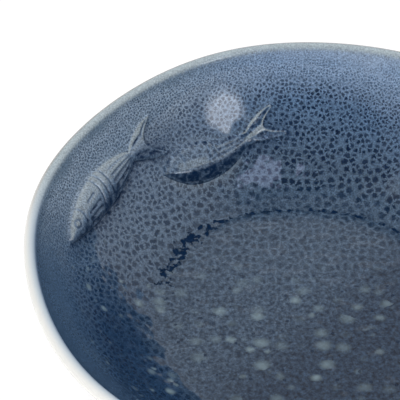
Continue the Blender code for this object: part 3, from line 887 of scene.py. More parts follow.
def zone_colours(put, colours, east, north, zone):
    """Colours of the net and of its dots: by zone on the far side, greyer on the left, more even nearby."""
    c = colours
    far = (
        ((0.02, c.net_lip), (0.12, c.net_high), (0.34, c.net_middle), (0.65, c.net_low)),
        ((0.02, c.dot_lip), (0.15, c.dot_high), (0.28, c.dot_middle), (0.65, c.dot_low),
         (0.95, c.dot_floor)),
    )
    left = (
        ((0.06, c.west_lip), (0.13, c.west_high), (0.36, c.west_low), (0.95, c.net_low)),
        ((0.05, c.west_lip), (0.13, c.west_dot_high), (0.36, c.west_dot_low), (0.95, c.dot_floor)),
    )
    near = (
        ((0.05, c.calm_high), (0.36, c.calm_middle), (0.58, c.calm_low), (0.76, c.calm_low),
         (0.90, c.net_low)),
        ((0.05, c.calm_high), (0.22, c.calm_middle), (0.50, c.calm_dot), (0.95, c.dot_floor)),
    )
    west = put("MapRange", (east, *WEST_SIDE), interpolation_type=SOFT)[0]
    calm = put("MapRange", (north, *CALM_SIDE), interpolation_type=SOFT)[0]
    mixed = []
    for sides in zip(far, left, near):
        ramps = [put("ValToRGB", {"Fac": zone}, stops=stops)[0] for stops in sides]
        greyed = put("Mix", {"Factor": west, "A": ramps[0], "B": ramps[1]}, data_type="RGBA")["Result"]
        mixed.append(put("Mix", {"Factor": calm, "A": greyed, "B": ramps[2]}, data_type="RGBA")["Result"])
    return mixed


def wall_net(put, uv, east, depth):
    """Net of the wall with ragged dark spots, finer under the lip and at the sides than at the back."""
    bend = put("TexNoise", {"Vector": uv, "Scale": BEND_PER_MM, "Detail": 1.0}, noise_dimensions="2D")[1]
    bent = put("VectorMath", (bend, (BEND_MM, BEND_MM, 0), uv), operation="MULTIPLY_ADD")[0]
    fray = put("TexNoise", {"Vector": uv, "Scale": FRAY_PER_MM, "Detail": 3.0}, noise_dimensions="2D")[1]
    frayed = put("VectorMath", (fray, (FRAY_MM, FRAY_MM, 0), bent), operation="MULTIPLY_ADD")[0]
    wide = glaze_cells(put, frayed, DOT_SPACING_MM, (0.26, 0.46), 0.11, 0.22, 0.36)
    fine = glaze_cells(put, frayed, SIDE_SPACING_MM, (0.24, 0.44), 0.12, 0.22, 0.42)
    aside = put("Math", (east, WIDE_NET_LEFT), operation="ADD")[0]
    aside = put("Math", {0: aside}, operation="ABSOLUTE")[0]
    finer = put("MapRange", (aside, *FINE_NET_ASIDE))[0]
    high_up = put("MapRange", (depth, *FINE_NET_HIGH_MM))[0]
    finer = put("Math", (finer, high_up), operation="MULTIPLY")[0]
    topmost = put("MapRange", (depth, *FINE_NET_TOP_MM))[0]
    finer = put("Math", (finer, topmost), operation="MAXIMUM")[0]
    return put("Mix", {"Factor": finer, "A": wide, "B": fine})["Result"]


def floor_net(put, spot, sway, near_side):
    """Net of the floor, grainier on the near side."""
    reach = SWAY_MM * MM
    swayed = put("VectorMath", (sway, (reach, reach, 0), spot), operation="MULTIPLY_ADD")[0]
    cells = glaze_cells(put, swayed, FLOOR_CELL_MM * MM, (0.20, 0.50), 0.22, 0.28, 0.68)
    melt = put("TexNoise", {"Vector": spot, "Scale": per_metre(MELT_MM), "Detail": 3.0})[0]
    fines = put("MapRange", (melt, 0.34, 0.64, 0.05))[0]
    grainy = put("MapRange", (near_side, 0.0, 1.0, 0.40, 0.75))[0]
    return put("Mix", {"Factor": grainy, "A": cells, "B": fines})["Result"]


def crystals(put, spot, sway, depth, near_side):
    """Crystals on the near floor and the lower wall, each of its own size and strength."""
    reach = CRYSTAL_SWAY_MM * MM
    nudged = put("VectorMath", (sway, (reach, reach, reach), spot), operation="MULTIPLY_ADD")[0]
    drawn = put("Mapping", {"Vector": nudged, "Scale": (0.78, 1.0, 1.0)})[0]
    seeds = put("TexVoronoi", {"Vector": drawn, "Scale": per_metre(CRYSTAL_SPACING_MM)})
    pick = put("SeparateColor", {"Color": seeds["Color"]})
    most = put("MapRange", (depth, *LARGE_CRYSTAL_DEPTH_MM, 0.34, 0.62))[0]
    size = put("MapRange", (pick[0], 0.0, 1.0, 0.18, most))[0]
    core = put("Math", (size, 0.15), operation="MULTIPLY")[0]
    strong = put("MapRange", (pick[1], 0.0, 1.0, 0.15, 0.58))[0]
    crystal = put("MapRange", (seeds["Distance"], core, size, strong, 0.0), interpolation_type=SOFT)[0]
    low_down = put("MapRange", (depth, *CRYSTAL_DEPTH_MM))[0]
    where = put("Math", (near_side, low_down), operation="MULTIPLY")[0]
    return put("Math", (crystal, where), operation="MULTIPLY")[0]


def trough_dashes(put, broken, trough):
    """Dark dashes where thick glaze sits in the trough round the floor."""
    filled = put("Math", (broken, 4.0, trough), operation="MULTIPLY_ADD")[0]
    dash = put("MapRange", (filled, 2.78, 3.12, 0.0, 0.92), interpolation_type=SOFT)[0]
    kept = put("MapRange", (trough, 0.05, 0.25))[0]
    return put("Math", (dash, kept), operation="MULTIPLY")[0]


def floor_pits(put, spot, on_floor):
    """Pin-sized pits of the floor."""
    holes = put("TexVoronoi", {"Vector": spot, "Scale": per_metre(PIT_SPACING_MM)}, voronoi_dimensions="2D")
    pit = put("MapRange", (holes["Distance"], 0.022, 0.040, 0.8, 0.0), interpolation_type=SOFT)[0]
    return put("Math", (pit, on_floor), operation="MULTIPLY")[0]


def lip_paint(put, colours, spot, north, drop, grain):
    """Where the lip's glaze lies, and its colour: grey on the far side, cream over pale blue nearby."""
    far = put("MapRange", (north, *FAR_LIP), interpolation_type=SOFT)[0]
    ragged = put("TexNoise", {"Vector": spot, "Scale": per_metre(FRINGE_MM), "Detail": 2.0})[0]
    fringe = put("MapRange", (far, 0.0, 1.0, *FRINGE_HEIGHT_MM))[0]
    rise = put("Math", (ragged, fringe, drop), operation="MULTIPLY_ADD")[0]
    start = put("MapRange", (far, 0.0, 1.0, *LIP_START_MM))[0]
    end = put("MapRange", (far, 0.0, 1.0, *LIP_END_MM))[0]
    on_lip = put("MapRange", (rise, start, end), interpolation_type=SOFT)[0]
    over = put("MapRange", (drop, 0.0, -LIP_REACH_MM))[0]
    near_stops = (
        (0.05, colours.lip_blue), (0.35, colours.lip_pale), (0.65, colours.lip_cream), (1.0, colours.white))
    far_stops = (
        (0.0, colours.lip_far), (0.50, colours.lip_far), (0.68, colours.lip_edge), (1.0, colours.white))
    near_lip = put("ValToRGB", {"Fac": over}, stops=near_stops)[0]
    far_lip = put("ValToRGB", {"Fac": over}, stops=far_stops)[0]
    speckle = put("MapRange", (grain, *NOISE_RANGE, 0.80, 1.20), clamp=False)[0]
    far_lip = put("VectorMath", {0: far_lip, "Scale": speckle}, operation="SCALE")[0]
    return on_lip, put("Mix", {"Factor": far, "A": near_lip, "B": far_lip}, data_type="RGBA")["Result"]


def glaze_skin(put, spot, drop, grain, sunken):
    """Pebbly skin where the glaze is thick, drawn a little coarser than life so that it shows."""
    pebble = put("TexVoronoi", {"Vector": spot, "Scale": per_metre(PEBBLE_MM), "Smoothness": 0.7},
                 feature="SMOOTH_F1")["Distance"]
    swell = put("MapRange", (drop, *PEBBLE_DEPTH_MM, -0.1, -0.7))[0]
    swollen = put("Math", (pebble, swell), operation="MULTIPLY")[0]
    skin = put("Math", (grain, 0.03, swollen), operation="MULTIPLY_ADD")[0]
    dented = put("Math", (sunken, -2.0, skin), operation="MULTIPLY_ADD")[0]
    return put("Bump", {"Height": dented, "Strength": 1.0, "Distance": SKIN_BUMP})[0]


def reactive_glaze(colours):
    """Reactive blue stoneware glaze, poured thick and fired to gloss.

    It runs off edges, where it breaks pale, and pools navy in the cells of a pale net that widens from the
    lip to the heel. On the floor it sets in a grainy web with floating crystals. The thick glass has a soft
    pebbly skin.
    """
    material, put, shader = blank(BLUE)
    uv = put("UVMap", uv_map="glaze")[0]
    spot = put("TexCoord")["Object"]
    axes = put("SeparateXYZ", {0: spot})
    east, north = axes["X"], axes["Y"]
    drop, thin_glaze_and_painted_light, dotted, trough, satin = (
        put("Attribute", attribute_name=name)["Fac"] for name in GLAZE_NOTES)
    sway = put("TexNoise", {"Vector": spot, "Scale": per_metre(SWAY_MM), "Detail": 3.0})[1]
    broken = put("TexNoise", {"Vector": spot, "Scale": per_metre(DASH_MM), "Detail": 4.0})[0]
    grain = put("TexNoise", {"Vector": spot, "Scale": per_metre(GRAIN_MM), "Detail": 2.0})[0]
    near_side = put("MapRange", (north, *NEAR_SIDE))[0]

    # The zones lie lower on the left, and wander up and down the wall
    wander = put("TexNoise", {"Vector": spot, "Scale": per_metre(WANDER_SIZE_MM), "Detail": 2.0})[0]
    lean = put("MapRange", (east, *LEANING_SIDE, 0.0, LEAN_MM), interpolation_type=SOFT)[0]
    level = put("Math", (drop, lean), operation="ADD")[0]
    depth = put("Math", (wander, WANDER_MM, level), operation="MULTIPLY_ADD")[0]
    zone = put("MapRange", (depth, WANDER_MM / 2, WANDER_MM / 2 + ZONE_MM))[0]
    on_floor = put("MapRange", (depth, *FLOOR_DEPTH_MM), interpolation_type=SOFT)[0]

    # Net of the wall and the floor, with the fine grain of the melt
    net, dots = zone_colours(put, colours, east, north, zone)
    on_wall = put("Math", (wall_net(put, uv, east, depth), dotted), operation="MULTIPLY")[0]
    web = floor_net(put, spot, sway, near_side)
    pooled = put("Mix", {"Factor": on_floor, "A": on_wall, "B": web})["Result"]
    body = put("Mix", {"Factor": pooled, "A": net, "B": dots}, data_type="RGBA")["Result"]
    tone = put("MapRange", (grain, *NOISE_RANGE, 0.66, 1.34), clamp=False)[0]
    body = put("VectorMath", {0: body, "Scale": tone}, operation="SCALE")[0]

    # Darker and bluer towards the near right of the floor
    slant = put("VectorMath", (spot, (0.7, -0.7, 0)), operation="DOT_PRODUCT")["Value"]
    shade = put("MapRange", (slant, *SHADED_SIDE), interpolation_type=SOFT)[0]
    shaded = put("Math", (shade, on_floor), operation="MULTIPLY")[0]
    deeper = put("VectorMath", (body, (0.36, 0.49, 0.61)), operation="MULTIPLY")[0]

    # Thin on ridges, thick in grooves, and sunken in dashes and pits; on and round the fish the pale also
    # carries painted highlights and light, and the dark carries painted shade
    dash = trough_dashes(put, broken, trough)
    sunken = put("Math", (dash, floor_pits(put, spot, on_floor)), operation="MAXIMUM")[0]
    pale_glaze_and_highlight = put("MapRange", (thin_glaze_and_painted_light, 0.05, 1.0, 0.0, 0.80))[0]
    ridge = put("VectorMath", {0: tuple(colours.ridge), "Scale": tone}, operation="SCALE")[0]
    mottle = put("MapRange", (broken, 0.40, 0.60, 0.40, 1.15))[0]
    pooled_glaze_and_shade = put("MapRange", (thin_glaze_and_painted_light, -0.05, -1.0, 0.0, 0.82))[0]
    pooled_glaze_and_shade = put("Math", (pooled_glaze_and_shade, mottle), operation="MULTIPLY", use_clamp=True)[0]

    floated = crystals(put, spot, sway, depth, near_side)
    on_lip, lip = lip_paint(put, colours, spot, north, drop, grain)
    layers = (
        (shaded, deeper),
        (floated, (*colours.crystal, 1)),
        (sunken, (*colours.pool_deep, 1)),
        (pale_glaze_and_highlight, ridge),
        (pooled_glaze_and_shade, (*colours.pool_deep, 1)),
        (on_lip, lip),
    )
    for share, colour in layers:
        body = put("Mix", {"Factor": share, "A": body, "B": colour}, data_type="RGBA")["Result"]

    # Thick glaze mirrors less
    dull = put("Math", (pooled, 0.25, dash), operation="MULTIPLY_ADD")[0]
    dull = put("Math", (pooled_glaze_and_shade, 0.9, dull), operation="MULTIPLY_ADD")[0]
    dull = put("Math", (satin, 0.66, dull), operation="MULTIPLY_ADD")[0]
    gloss = put("MapRange", (dull, 0.0, 1.0, 0.5, 0.0))[0]
    bump = glaze_skin(put, spot, drop, grain, sunken)
    wire(shader, {"Base Color": body, "Normal": bump, "Specular IOR Level": gloss,
                  "Roughness": 0.03, "IOR": GLAZE_IOR})
    return material


# Real sizes of the white glaze's and the clay's patterns
CLOUD_MM = 30.0
SPECK_SPACING_MM = 9.0
THROWING_RING_MM = 7.0
PEEL_MM = 2.5
CLAY_CLOUD_MM = 12.0
GROG_MM = 1.2
WAVE_SCALE = 6.28  # a wave texture's bands are this much closer than its scale says


def white_glaze(colours):
    """Satin white stoneware glaze, dipped.

    It is slightly uneven and warm, with faint throwing rings and a few iron specks.
    """
    material, put, shader = blank(WHITE)
    clay = (*colours.clay, 1)
    spot = put("TexCoord")["Object"]
    cloud = put("TexNoise", {"Vector": spot, "Scale": per_metre(CLOUD_MM), "Detail": 3.0})[0]
    thick = put("MapRange", (cloud, 0.35, 0.7, 0.0, 0.10))[0]
    body = put("Mix", {"Factor": thick, "A": (*colours.white, 1), "B": clay}, data_type="RGBA")["Result"]
    seeds = put("TexVoronoi", {"Vector": spot, "Scale": per_metre(SPECK_SPACING_MM)})
    speck = put("MapRange", (seeds["Distance"], 0.03, 0.05, 0.35, 0.0))[0]
    body = put("Mix", {"Factor": speck, "A": body, "B": clay}, data_type="RGBA")["Result"]
    rings = put("TexWave", {"Vector": spot, "Scale": per_metre(THROWING_RING_MM) / WAVE_SCALE,
                            "Distortion": 1.5}, bands_direction="Z")[0]
    peel = put("TexNoise", {"Vector": spot, "Scale": per_metre(PEEL_MM), "Detail": 2.0})[0]
    skin = put("Math", (rings, 0.5, peel), operation="MULTIPLY_ADD")[0]
    bump = put("Bump", {"Height": skin, "Strength": 1.0, "Distance": WHITE_BUMP})[0]
    wire(shader, {"Base Color": body, "Normal": bump, "Roughness": 0.32, "IOR": GLAZE_IOR})
    return material


def bare_clay(colours):
    """Fired stoneware, ground by hand after firing.

    It is dry, sandy and matt, with darker grog grains.
    """
    material, put, shader = blank(CLAY)
    spot = put("TexCoord")["Object"]
    cloud = put("TexNoise", {"Vector": spot, "Scale": per_metre(CLAY_CLOUD_MM), "Detail": 4.0})[0]
    grog = put("TexVoronoi", {"Vector": spot, "Scale": per_metre(GROG_MM)})["Distance"]
    dark = put("MapRange", (grog, 0.1, 0.35, 0.5, 0.0))[0]
    tone = put("MapRange", (cloud, 0.3, 0.7, 0.75, 1.1))[0]
    grains = tuple(0.35 * value for value in colours.clay)
    body = put("Mix", {"Factor": dark, "A": (*colours.clay, 1), "B": (*grains, 1)},
               data_type="RGBA")["Result"]
    toned = put("VectorMath", {0: body, "Scale": tone}, operation="SCALE")[0]
    bump = put("Bump", {"Height": grog, "Strength": 0.6, "Distance": CLAY_BUMP})[0]
    wire(shader, {"Base Color": toned, "Normal": bump, "Roughness": 0.85})
    return material


MAKERS = {BLUE: reactive_glaze, WHITE: white_glaze, CLAY: bare_clay}


def shared(name):
    """The material of this name, made on first use."""
    return bpy.data.materials.get(name) or MAKERS[name](bpy.context.scene.bowl_colours)


# Trough that the glaze left round the floor, where it sank while it was fired
RING_RADIUS = 76.1 * MM
RING_WAVES = ((2, 4.6 * MM), (5, 0.85 * MM))  # how often and how far it strays from a circle
RING_CREST = math.radians(-15)
RING_DEPTH = 0.35 * MM
RING_WIDTH = 1.3 * MM
RING_WIDTH_LEFT = 4.8 * MM
RING_LEFT = (45 * MM, 62 * MM)  # left of the middle
RING_FAR = (-4 * MM, 22 * MM)  # beyond the middle
# Satin glaze beside it, from inside it to outside it; it ends on the left
SATIN_START = (-9 * MM, -3 * MM)
SATIN_END = (10 * MM, 20 * MM)
SATIN_LEFT = (25 * MM, 58 * MM)
# Slow unevenness of the thick glaze: waves per metre across the bowl with their phases, and its height
SKIN_WAVES = ((41, 17, 0.3), (-23, 52, 1.9), (58, -31, 4.0), (13, 67, 2.6), (-71, -12, 5.2))
SKIN_HEIGHT = 0.05 * MM
SKIN_DROP = (25 * MM, 50 * MM)
# Thick run of glaze on the left of the heel, which leans the face a little: its middle along the section
RUN_MIDDLE = 97 * MM
RUN_REACH = 22 * MM
RUN_LEAN = 0.045
RUN_STEPS = ((150, 168, 1), (197, 208, -3), (228, 250, 2))  # degrees where the lean changes, and by how much
# Reach of the thinner glaze above a fish, of the pooled glaze, painted shade and painted glints below it,
# and of the weaker dots round it
THINNING_AND_SHADE_REACH = 3.8 * MM
THINNING_AND_SHADE_END = 16 * MM
WEAK_DOTS_REACH = 5 * MM
# Pooled glaze and painted shade under the belly of the large fish; the small one has pooled glaze only
# before its tail, and a pale rim of painted glints under its belly
LARGE_POOL_AND_SHADE = 1.20
SMALL_PALE_RIM_AND_GLINTS = -0.35
SMALL_TAIL_POOL = 1.2


class BOWL_OT_lining(Operator):
    """Turns the blue lining and unrolls its glaze"""

    bl_idname = "bowl.lining"
    bl_label = "Blue lining"

    def execute(self, context):
        scene = context.scene
        sizes = scene.bowl_sizes
        section = Section(sizes)
        end = section.length - sizes.lip_band
        face = section.run(0.0, end, section.inside, FINE)
        back = section.run(0.0, end, section.inside + sizes.lining_thickness, COARSE)
        obj = turned("blue_lining", face + back[::-1])
        co = coordinates(obj)
        radius, azimuth = polar(co)
        along = section.locate(radius, co[:, 2])
        face_r, face_z = section.point(along, section.inside)
        on_face = np.hypot(radius - face_r, co[:, 2] - face_z) < sizes.lining_thickness / 4
        trough, satin = self.heel(co, radius, azimuth)
        moved = self.uneven(section, co, azimuth, along, trough)
        place(obj, section.lobed(np.where(on_face[:, None], moved, co)))
        glaze_map(obj, section, azimuth, along)
        thin_glaze_and_painted_light, dotted = self.flow(scene, section, azimuth, along)
        note_glaze(obj, section.length - along, thin_glaze_and_painted_light, dotted, trough, satin)
        dress(obj, shared(BLUE), "inner_glaze")
        return {"FINISHED"}

    def heel(self, co, radius, azimuth):
        """The trough round the far half of the floor, wider on the left, and the satin glaze outside it."""
        swing = azimuth - RING_CREST
        ring = RING_RADIUS + sum(reach * np.cos(count * swing) for count, reach in RING_WAVES)
        off = radius - ring
        left = smooth(*RING_LEFT, -co[:, 0])
        width = RING_WIDTH + (RING_WIDTH_LEFT - RING_WIDTH) * left
        held = smooth(*RING_FAR, co[:, 1])
        satin = smooth(*SATIN_START, off) * (1 - smooth(*SATIN_END, off))
        return groove(off, width) * held, satin * held * (1 - smooth(*SATIN_LEFT, -co[:, 0]))

    def uneven(self, section, co, azimuth, along, trough):
        """The face with the trough sunk into it and with the slow waves and the run of the thick glaze."""
        x, y = co[:, 0], co[:, 1]
        wave = sum(np.sin(math.tau * (kx * x + ky * y) + phase) for kx, ky, phase in SKIN_WAVES)
        thick = smooth(*SKIN_DROP, section.length - along)
        degrees = np.degrees(azimuth) % 360
        run = sum(change * smooth(start, end, degrees) for start, end, change in RUN_STEPS)
        lean = RUN_LEAN * (along - RUN_MIDDLE) * groove(along - RUN_MIDDLE, RUN_REACH)
        lift = SKIN_HEIGHT * thick * wave + lean * run - RING_DEPTH * trough
        radius, height = section.point(along, section.inside - lift)
        return np.stack((radius * np.cos(azimuth), radius * np.sin(azimuth), height), axis=1)

    def flow(self, scene, section, azimuth, along):
        """Thinner glaze above each fish, pooled glaze and painted shade below the large one, painted glints
        below the small one, fading dots round each.
        """
        thin_glaze_and_painted_light = np.zeros_like(along)
        dotted = np.ones_like(along)
        pools = (
            (scene.bowl_large_fish, LARGE_POOL_AND_SHADE, 0.0),
            (scene.bowl_small_fish, SMALL_PALE_RIM_AND_GLINTS, SMALL_TAIL_POOL),
        )
        for fish, pool_and_shade, tail_pool in pools:
            plan = FishPlan(fish, section)
            swing = (fish.snout_angle - azimuth + math.pi) % math.tau - math.pi
            reach, across = plan.follow(swing * plan.seat_radius, along - plan.along)
            inside = plan.depth_inside(reach, across)
            outside = np.maximum(-inside, 0)
            side = plan.side(reach, across)
            forked = (reach > plan.body) * smooth(-1.0, -0.8, -np.abs(side))
            above = smooth(-0.2, 0.5, side) * (1 - 0.6 * forked)
            close = np.exp(-outside / THINNING_AND_SHADE_REACH) * (outside < THINNING_AND_SHADE_END)
            pooling_and_shade = pool_and_shade + tail_pool * smooth(plan.body - 12 * MM, plan.body - 2 * MM, reach)
            # Paler glaze above each fish; below the large fish pooled glaze and painted shade, below the
            # small fish's belly a pale rim of painted glints
            thin_glaze_and_painted_light += close * (0.20 * above - pooling_and_shade * (1 - above))
            dotted -= 0.30 * np.exp(-outside / WEAK_DOTS_REACH) * above
        return np.clip(thin_glaze_and_painted_light, -1, 1), np.clip(dotted, 0, 1)


class BOWL_OT_lip(Operator):
    """Turns the thin glaze over the lip"""

    bl_idname = "bowl.lip"
    bl_label = "Lip"

    def execute(self, context):
        sizes = context.scene.bowl_sizes
        section = Section(sizes)
        start = section.length - sizes.lip_band
        half = sizes.wall_thickness / 2
        clay_inside = section.inside + sizes.lining_thickness
        clay_outside = section.outside - sizes.coat_thickness
        clay_half = (sizes.wall_thickness - sizes.lining_thickness - sizes.coat_thickness) / 2
        inner = section.run(start, section.length, section.inside, FINE)[:-1]
        outer = section.run(start, section.length, section.outside, FINE)[-2::-1]
        under = section.lip_arc(clay_inside + clay_half, clay_half, LIP_STEPS // 2)
        back_in = section.run(start, section.length, clay_inside, COARSE)[:-1]
        back_out = section.run(start, section.length, clay_outside, COARSE)[-2::-1]
        face = inner + section.lip_arc(0.0, half, LIP_STEPS) + outer
        back = back_in + under + back_out
        obj = turned("glazed_lip", face + back[::-1] + face[:1])
        co = coordinates(obj)
        radius, azimuth = polar(co)
        along = section.locate(radius, co[:, 2])
        drop = self.over_the_lip(section, half, radius, co[:, 2], along)
        place(obj, section.lobed(co))
        glaze_map(obj, section, azimuth, np.minimum(along, section.length))
        note_glaze(obj, drop)
        dress(obj, shared(BLUE), "lip_glaze")
        return {"FINISHED"}

    def over_the_lip(self, section, half, radius, height, along):
        """Distance below the lip's centre on the inside, and beyond it, as a negative, over the lip."""
        centre_r, centre_z = section.point(section.length, 0.0)
        turned_over = section.lip_angle + math.pi / 2 - np.arctan2(height - centre_z, radius - centre_r)
        turned_over %= math.tau
        over_drop = -half * np.clip(turned_over, 0, math.pi) * (turned_over < math.pi)
        inside_drop = section.length - along
        outside_drop = -math.pi * half - inside_drop
        middle_r, _ = section.point(np.minimum(along, section.length), 0.0)
        beside_drop = np.where(radius < middle_r, inside_drop, outside_drop)
        return np.where(along > section.length, over_drop, beside_drop)


class BOWL_OT_coats(Operator):
    """Turns the white coat of the outside and of the base"""

    bl_idname = "bowl.coats"
    bl_label = "White coats"

    def execute(self, context):
        sizes = context.scene.bowl_sizes
        section = Section(sizes)
        outer_foot = section.below(sizes.foot_diameter / 2)
        inner_foot = section.below(sizes.foot_diameter / 2 - sizes.foot_width)
        top = section.length - sizes.lip_band
        coats = (
            ("outside_coat", "outer_glaze", outer_foot, top),
            ("base_coat", "base_glaze", 0.0, inner_foot),
        )
        for name, node, start, end in coats:
            face = section.run(start, end, section.outside, PLAIN)
            back = section.run(start, end, section.outside - sizes.coat_thickness, COARSE)
            closing = face[:1] if start else []
            obj = turned(name, face + back[::-1] + closing)
            place(obj, section.lobed(coordinates(obj)))
            dress(obj, shared(WHITE), node)
        return {"FINISHED"}


class BOWL_OT_foot(Operator):
    """Turns the bare foot ring with rounded edges"""

    bl_idname = "bowl.foot"
    bl_label = "Foot ring"

    def execute(self, context):
        sizes = context.scene.bowl_sizes
        section = Section(sizes)
        outer = sizes.foot_diameter / 2
        inner = outer - sizes.foot_width
        bevel = sizes.foot_bevel
        seat = section.outside - sizes.coat_thickness
        inner_top, outer_top = (section.point(section.below(radius), seat)[1] for radius in (inner, outer))
        turns = [math.pi / 2 * i / BEVEL_STEPS for i in range(BEVEL_STEPS + 1)]
        outline = [(inner, inner_top)]
        outline += [(inner + bevel * (1 - math.cos(a)), bevel * (1 - math.sin(a))) for a in turns]
        outline += [(outer - bevel * (1 - math.sin(a)), bevel * (1 - math.cos(a))) for a in turns]
        outline += [(outer, outer_top), (inner, inner_top)]
        obj = turned("bare_foot", outline)
        dress(obj, shared(CLAY), "foot_ring")
        return {"FINISHED"}


class BOWL_OT_fish(Operator):
    """Models both fish on the wall"""

    bl_idname = "bowl.fish"
    bl_label = "Fish"

    def execute(self, context):
        scene = context.scene
        section = Section(scene.bowl_sizes)
        # Name, replaced node, sizes, peak, ridge and marks
        kinds = (
            ("large_fish_relief", "large_fish", scene.bowl_large_fish, 0.12, 0.0, large_marks),
            ("small_fish_relief", "small_fish", scene.bowl_small_fish, -0.12, 0.75, small_marks),
        )
        for name, node, fish, peak, ridge, marks in kinds:
            obj = fish_piece(name, FishPlan(fish, section), peak, ridge, marks)
            dress(obj, shared(BLUE), node)
        return {"FINISHED"}


class BOWL_OT_clay(Operator):
    """Gives the clay body, which the glazes cover, its bare clay"""

    bl_idname = "bowl.clay"
    bl_label = "Clay body"

    def execute(self, context):
        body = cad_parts["clay_body"]
        body.data.materials.clear()
        body.data.materials.append(shared(CLAY))
        return {"FINISHED"}


# Camera fitted to the lip's outline
CAMERA_PLACE = (0.0, -0.406407, 0.504975)
CAMERA_FORWARD = (-0.089807, 0.69927, -0.709194)
CAMERA_RIGHT = (0.995958, 0.062152, -0.064838)
CAMERA_LENS = 108.0
SENSOR_WIDTH = 36.0


class SoftPanel(NamedTuple):
    """A soft light that faces the bowl: its direction in degrees, its size, and a brightness where a white
    wall is 1. An unmirrored one lights the glaze without showing in it.
    """

    name: str
    round_angle: float
    up_angle: float
    distance: float
    width: float
    height: float
    brightness: float
    colour: str = "#ffffff"
    shape: str = "RECTANGLE"
    mirrored: bool = True


# Two windows that the far wall mirrors, the lower one with a soft edge, a ceiling and two working lights
PANELS = (
    SoftPanel("window_low", -51.0, 23.5, 1.5, 0.38, 0.44, 3.2, "#f2f7ff", "ELLIPSE"),
    SoftPanel("window_edge", -51.0, 23.0, 1.52, 0.47, 0.56, 2.2, "#eef5ff", "ELLIPSE"),
    SoftPanel("window_glow", -51.0, 22.0, 1.54, 0.54, 0.70, 1.2, "#e6f1ff", "ELLIPSE"),
    SoftPanel("window_high", -51.5, 63.0, 1.5, 0.56, 0.40, 2.9, "#ccd8ff", "ELLIPSE"),
    SoftPanel("ceiling", 100.0, 75.0, 1.6, 1.2, 1.2, 0.4),
    SoftPanel("top_key", 165.0, 77.0, 1.5, 0.40, 0.40, 13.0, mirrored=False),
    SoftPanel("front_fill", -112.0, 25.0, 1.6, 0.60, 0.60, 7.0, mirrored=False),
)
PANEL_TARGET = Vector((0, 0, 0.04))
# Room: direction of its dim part above the camera, the cosines between which it dims, and its brightness
DIM_SIDE = (0.0, -0.669, 0.743)
DIM_FROM, DIM_TO = 0.695, 0.914
ROOM_LEVEL, DIM_LEVEL = 0.88, 0.22
# Floor, which glows a little in the camera's eyes so that it stays white and keeps the shadow
FLOOR_SIZE = 6.0
FLOOR_GLOW = 1.05
FLOOR_GLOW_SHARE = 0.85


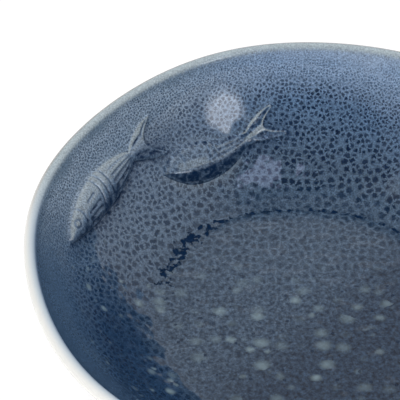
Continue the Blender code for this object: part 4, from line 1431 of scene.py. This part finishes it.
class BOWL_OT_stage(Operator):
    """Sets the pale floor, the soft light and the camera"""

    bl_idname = "bowl.stage"
    bl_label = "Stage"

    def execute(self, context):
        self.floor()
        self.sky(context.scene)
        for panel in PANELS:
            self.light(context.scene, panel)
        self.camera(context.scene)
        context.scene.view_settings.view_transform = "Standard"
        return {"FINISHED"}

    def floor(self):
        """White floor with a soft shadow."""
        bpy.ops.object.select_all(action="DESELECT")
        bpy.ops.mesh.primitive_plane_add(size=FLOOR_SIZE)
        obj = bpy.context.object
        obj.name = obj.data.name = "studio_floor"
        material, put, shader = blank("white_painted_floor")
        wire(shader, {"Base Color": (*linear("#f2f2f2"), 1), "Roughness": 0.9})
        seen = put("LightPath")["Is Camera Ray"]
        share = put("Math", (seen, FLOOR_GLOW_SHARE), operation="MULTIPLY")[0]
        glow = put("Emission", {"Color": (1, 1, 1, 1), "Strength": FLOOR_GLOW})[0]
        mixed = put("MixShader", (share, shader.outputs[0], glow))[0]
        wire(material.node_tree.nodes["Material Output"], {"Surface": mixed})
        obj.data.materials.append(material)

    def sky(self, scene):
        """White room that is dim behind the camera."""
        world = bpy.data.worlds.new("white_room")
        scene.world = world
        world.use_nodes = True
        put = partial(add_node, world.node_tree)
        way = put("TexCoord")["Generated"]
        toward = put("VectorMath", (way, DIM_SIDE), operation="DOT_PRODUCT")["Value"]
        lit = put("MapRange", (toward, DIM_FROM, DIM_TO, ROOM_LEVEL, DIM_LEVEL), interpolation_type=SOFT)[0]
        seen = put("LightPath")["Is Camera Ray"]
        level = put("Mix", {"Factor": seen, "A": lit, "B": 1.0})["Result"]
        wire(world.node_tree.nodes["Background"], {"Color": (1, 1, 1, 1), "Strength": level})

    def light(self, scene, panel):
        """One soft panel, which the camera doesn't see."""
        data = bpy.data.lights.new(panel.name, "AREA")
        data.shape = panel.shape
        data.color = linear(panel.colour)
        data.size = panel.width
        data.size_y = panel.height
        area = panel.width * panel.height * (math.pi / 4 if panel.shape == "ELLIPSE" else 1)
        data.energy = panel.brightness * math.pi * area
        obj = bpy.data.objects.new(panel.name, data)
        scene.collection.objects.link(obj)
        around = math.radians(panel.round_angle)
        up = math.radians(panel.up_angle)
        way = Vector((math.cos(around) * math.cos(up), math.sin(around) * math.cos(up), math.sin(up)))
        obj.location = PANEL_TARGET + way * panel.distance
        obj.rotation_euler = (-way).to_track_quat("-Z", "Y").to_euler()
        obj.visible_camera = False
        obj.visible_glossy = panel.mirrored

    def camera(self, scene):
        """Camera at the photograph's place."""
        data = bpy.data.cameras.new("camera")
        data.lens = CAMERA_LENS
        data.sensor_width = SENSOR_WIDTH
        obj = bpy.data.objects.new("camera", data)
        scene.collection.objects.link(obj)
        forward = Vector(CAMERA_FORWARD).normalized()
        right = Vector(CAMERA_RIGHT)
        right = (right - forward * right.dot(forward)).normalized()
        up = right.cross(forward)
        turned_to = Matrix((right, up, -forward)).transposed().to_4x4()
        obj.matrix_world = Matrix.Translation(CAMERA_PLACE) @ turned_to
        scene.camera = obj


class BOWL_PT_panel(Panel):
    """Lists the bowl's pieces and sizes"""

    bl_label = "Salad bowl"
    bl_idname = "BOWL_PT_panel"
    bl_space_type = "VIEW_3D"
    bl_region_type = "UI"
    bl_category = "Bowl"

    def draw(self, context):
        for step in STEPS:
            self.layout.operator(step.bl_idname)
        for group in GROUPS:
            box = self.layout.box()
            values = getattr(context.scene, group)
            for key in values.__annotations__:
                box.prop(values, key)


GROUPS = {
    "bowl_sizes": BowlSizes,
    "bowl_large_fish": LargeFish,
    "bowl_small_fish": SmallFish,
    "bowl_colours": BowlColours,
}
STEPS = (
    BOWL_OT_lining,
    BOWL_OT_lip,
    BOWL_OT_coats,
    BOWL_OT_foot,
    BOWL_OT_fish,
    BOWL_OT_clay,
    BOWL_OT_stage,
)


def register():
    for cls in (*GROUPS.values(), *STEPS, BOWL_PT_panel):
        bpy.utils.register_class(cls)
    for name, group in GROUPS.items():
        setattr(bpy.types.Scene, name, PointerProperty(type=group))


def unregister():
    for name in GROUPS:
        delattr(bpy.types.Scene, name)
    for cls in (BOWL_PT_panel, *STEPS, *GROUPS.values()):
        bpy.utils.unregister_class(cls)


def main():
    register()
    bpy.ops.bowl.lining()
    bpy.ops.bowl.lip()
    bpy.ops.bowl.coats()
    bpy.ops.bowl.foot()
    bpy.ops.bowl.fish()
    bpy.ops.bowl.clay()
    bpy.ops.bowl.stage()


if __name__ == "__main__":
    main()
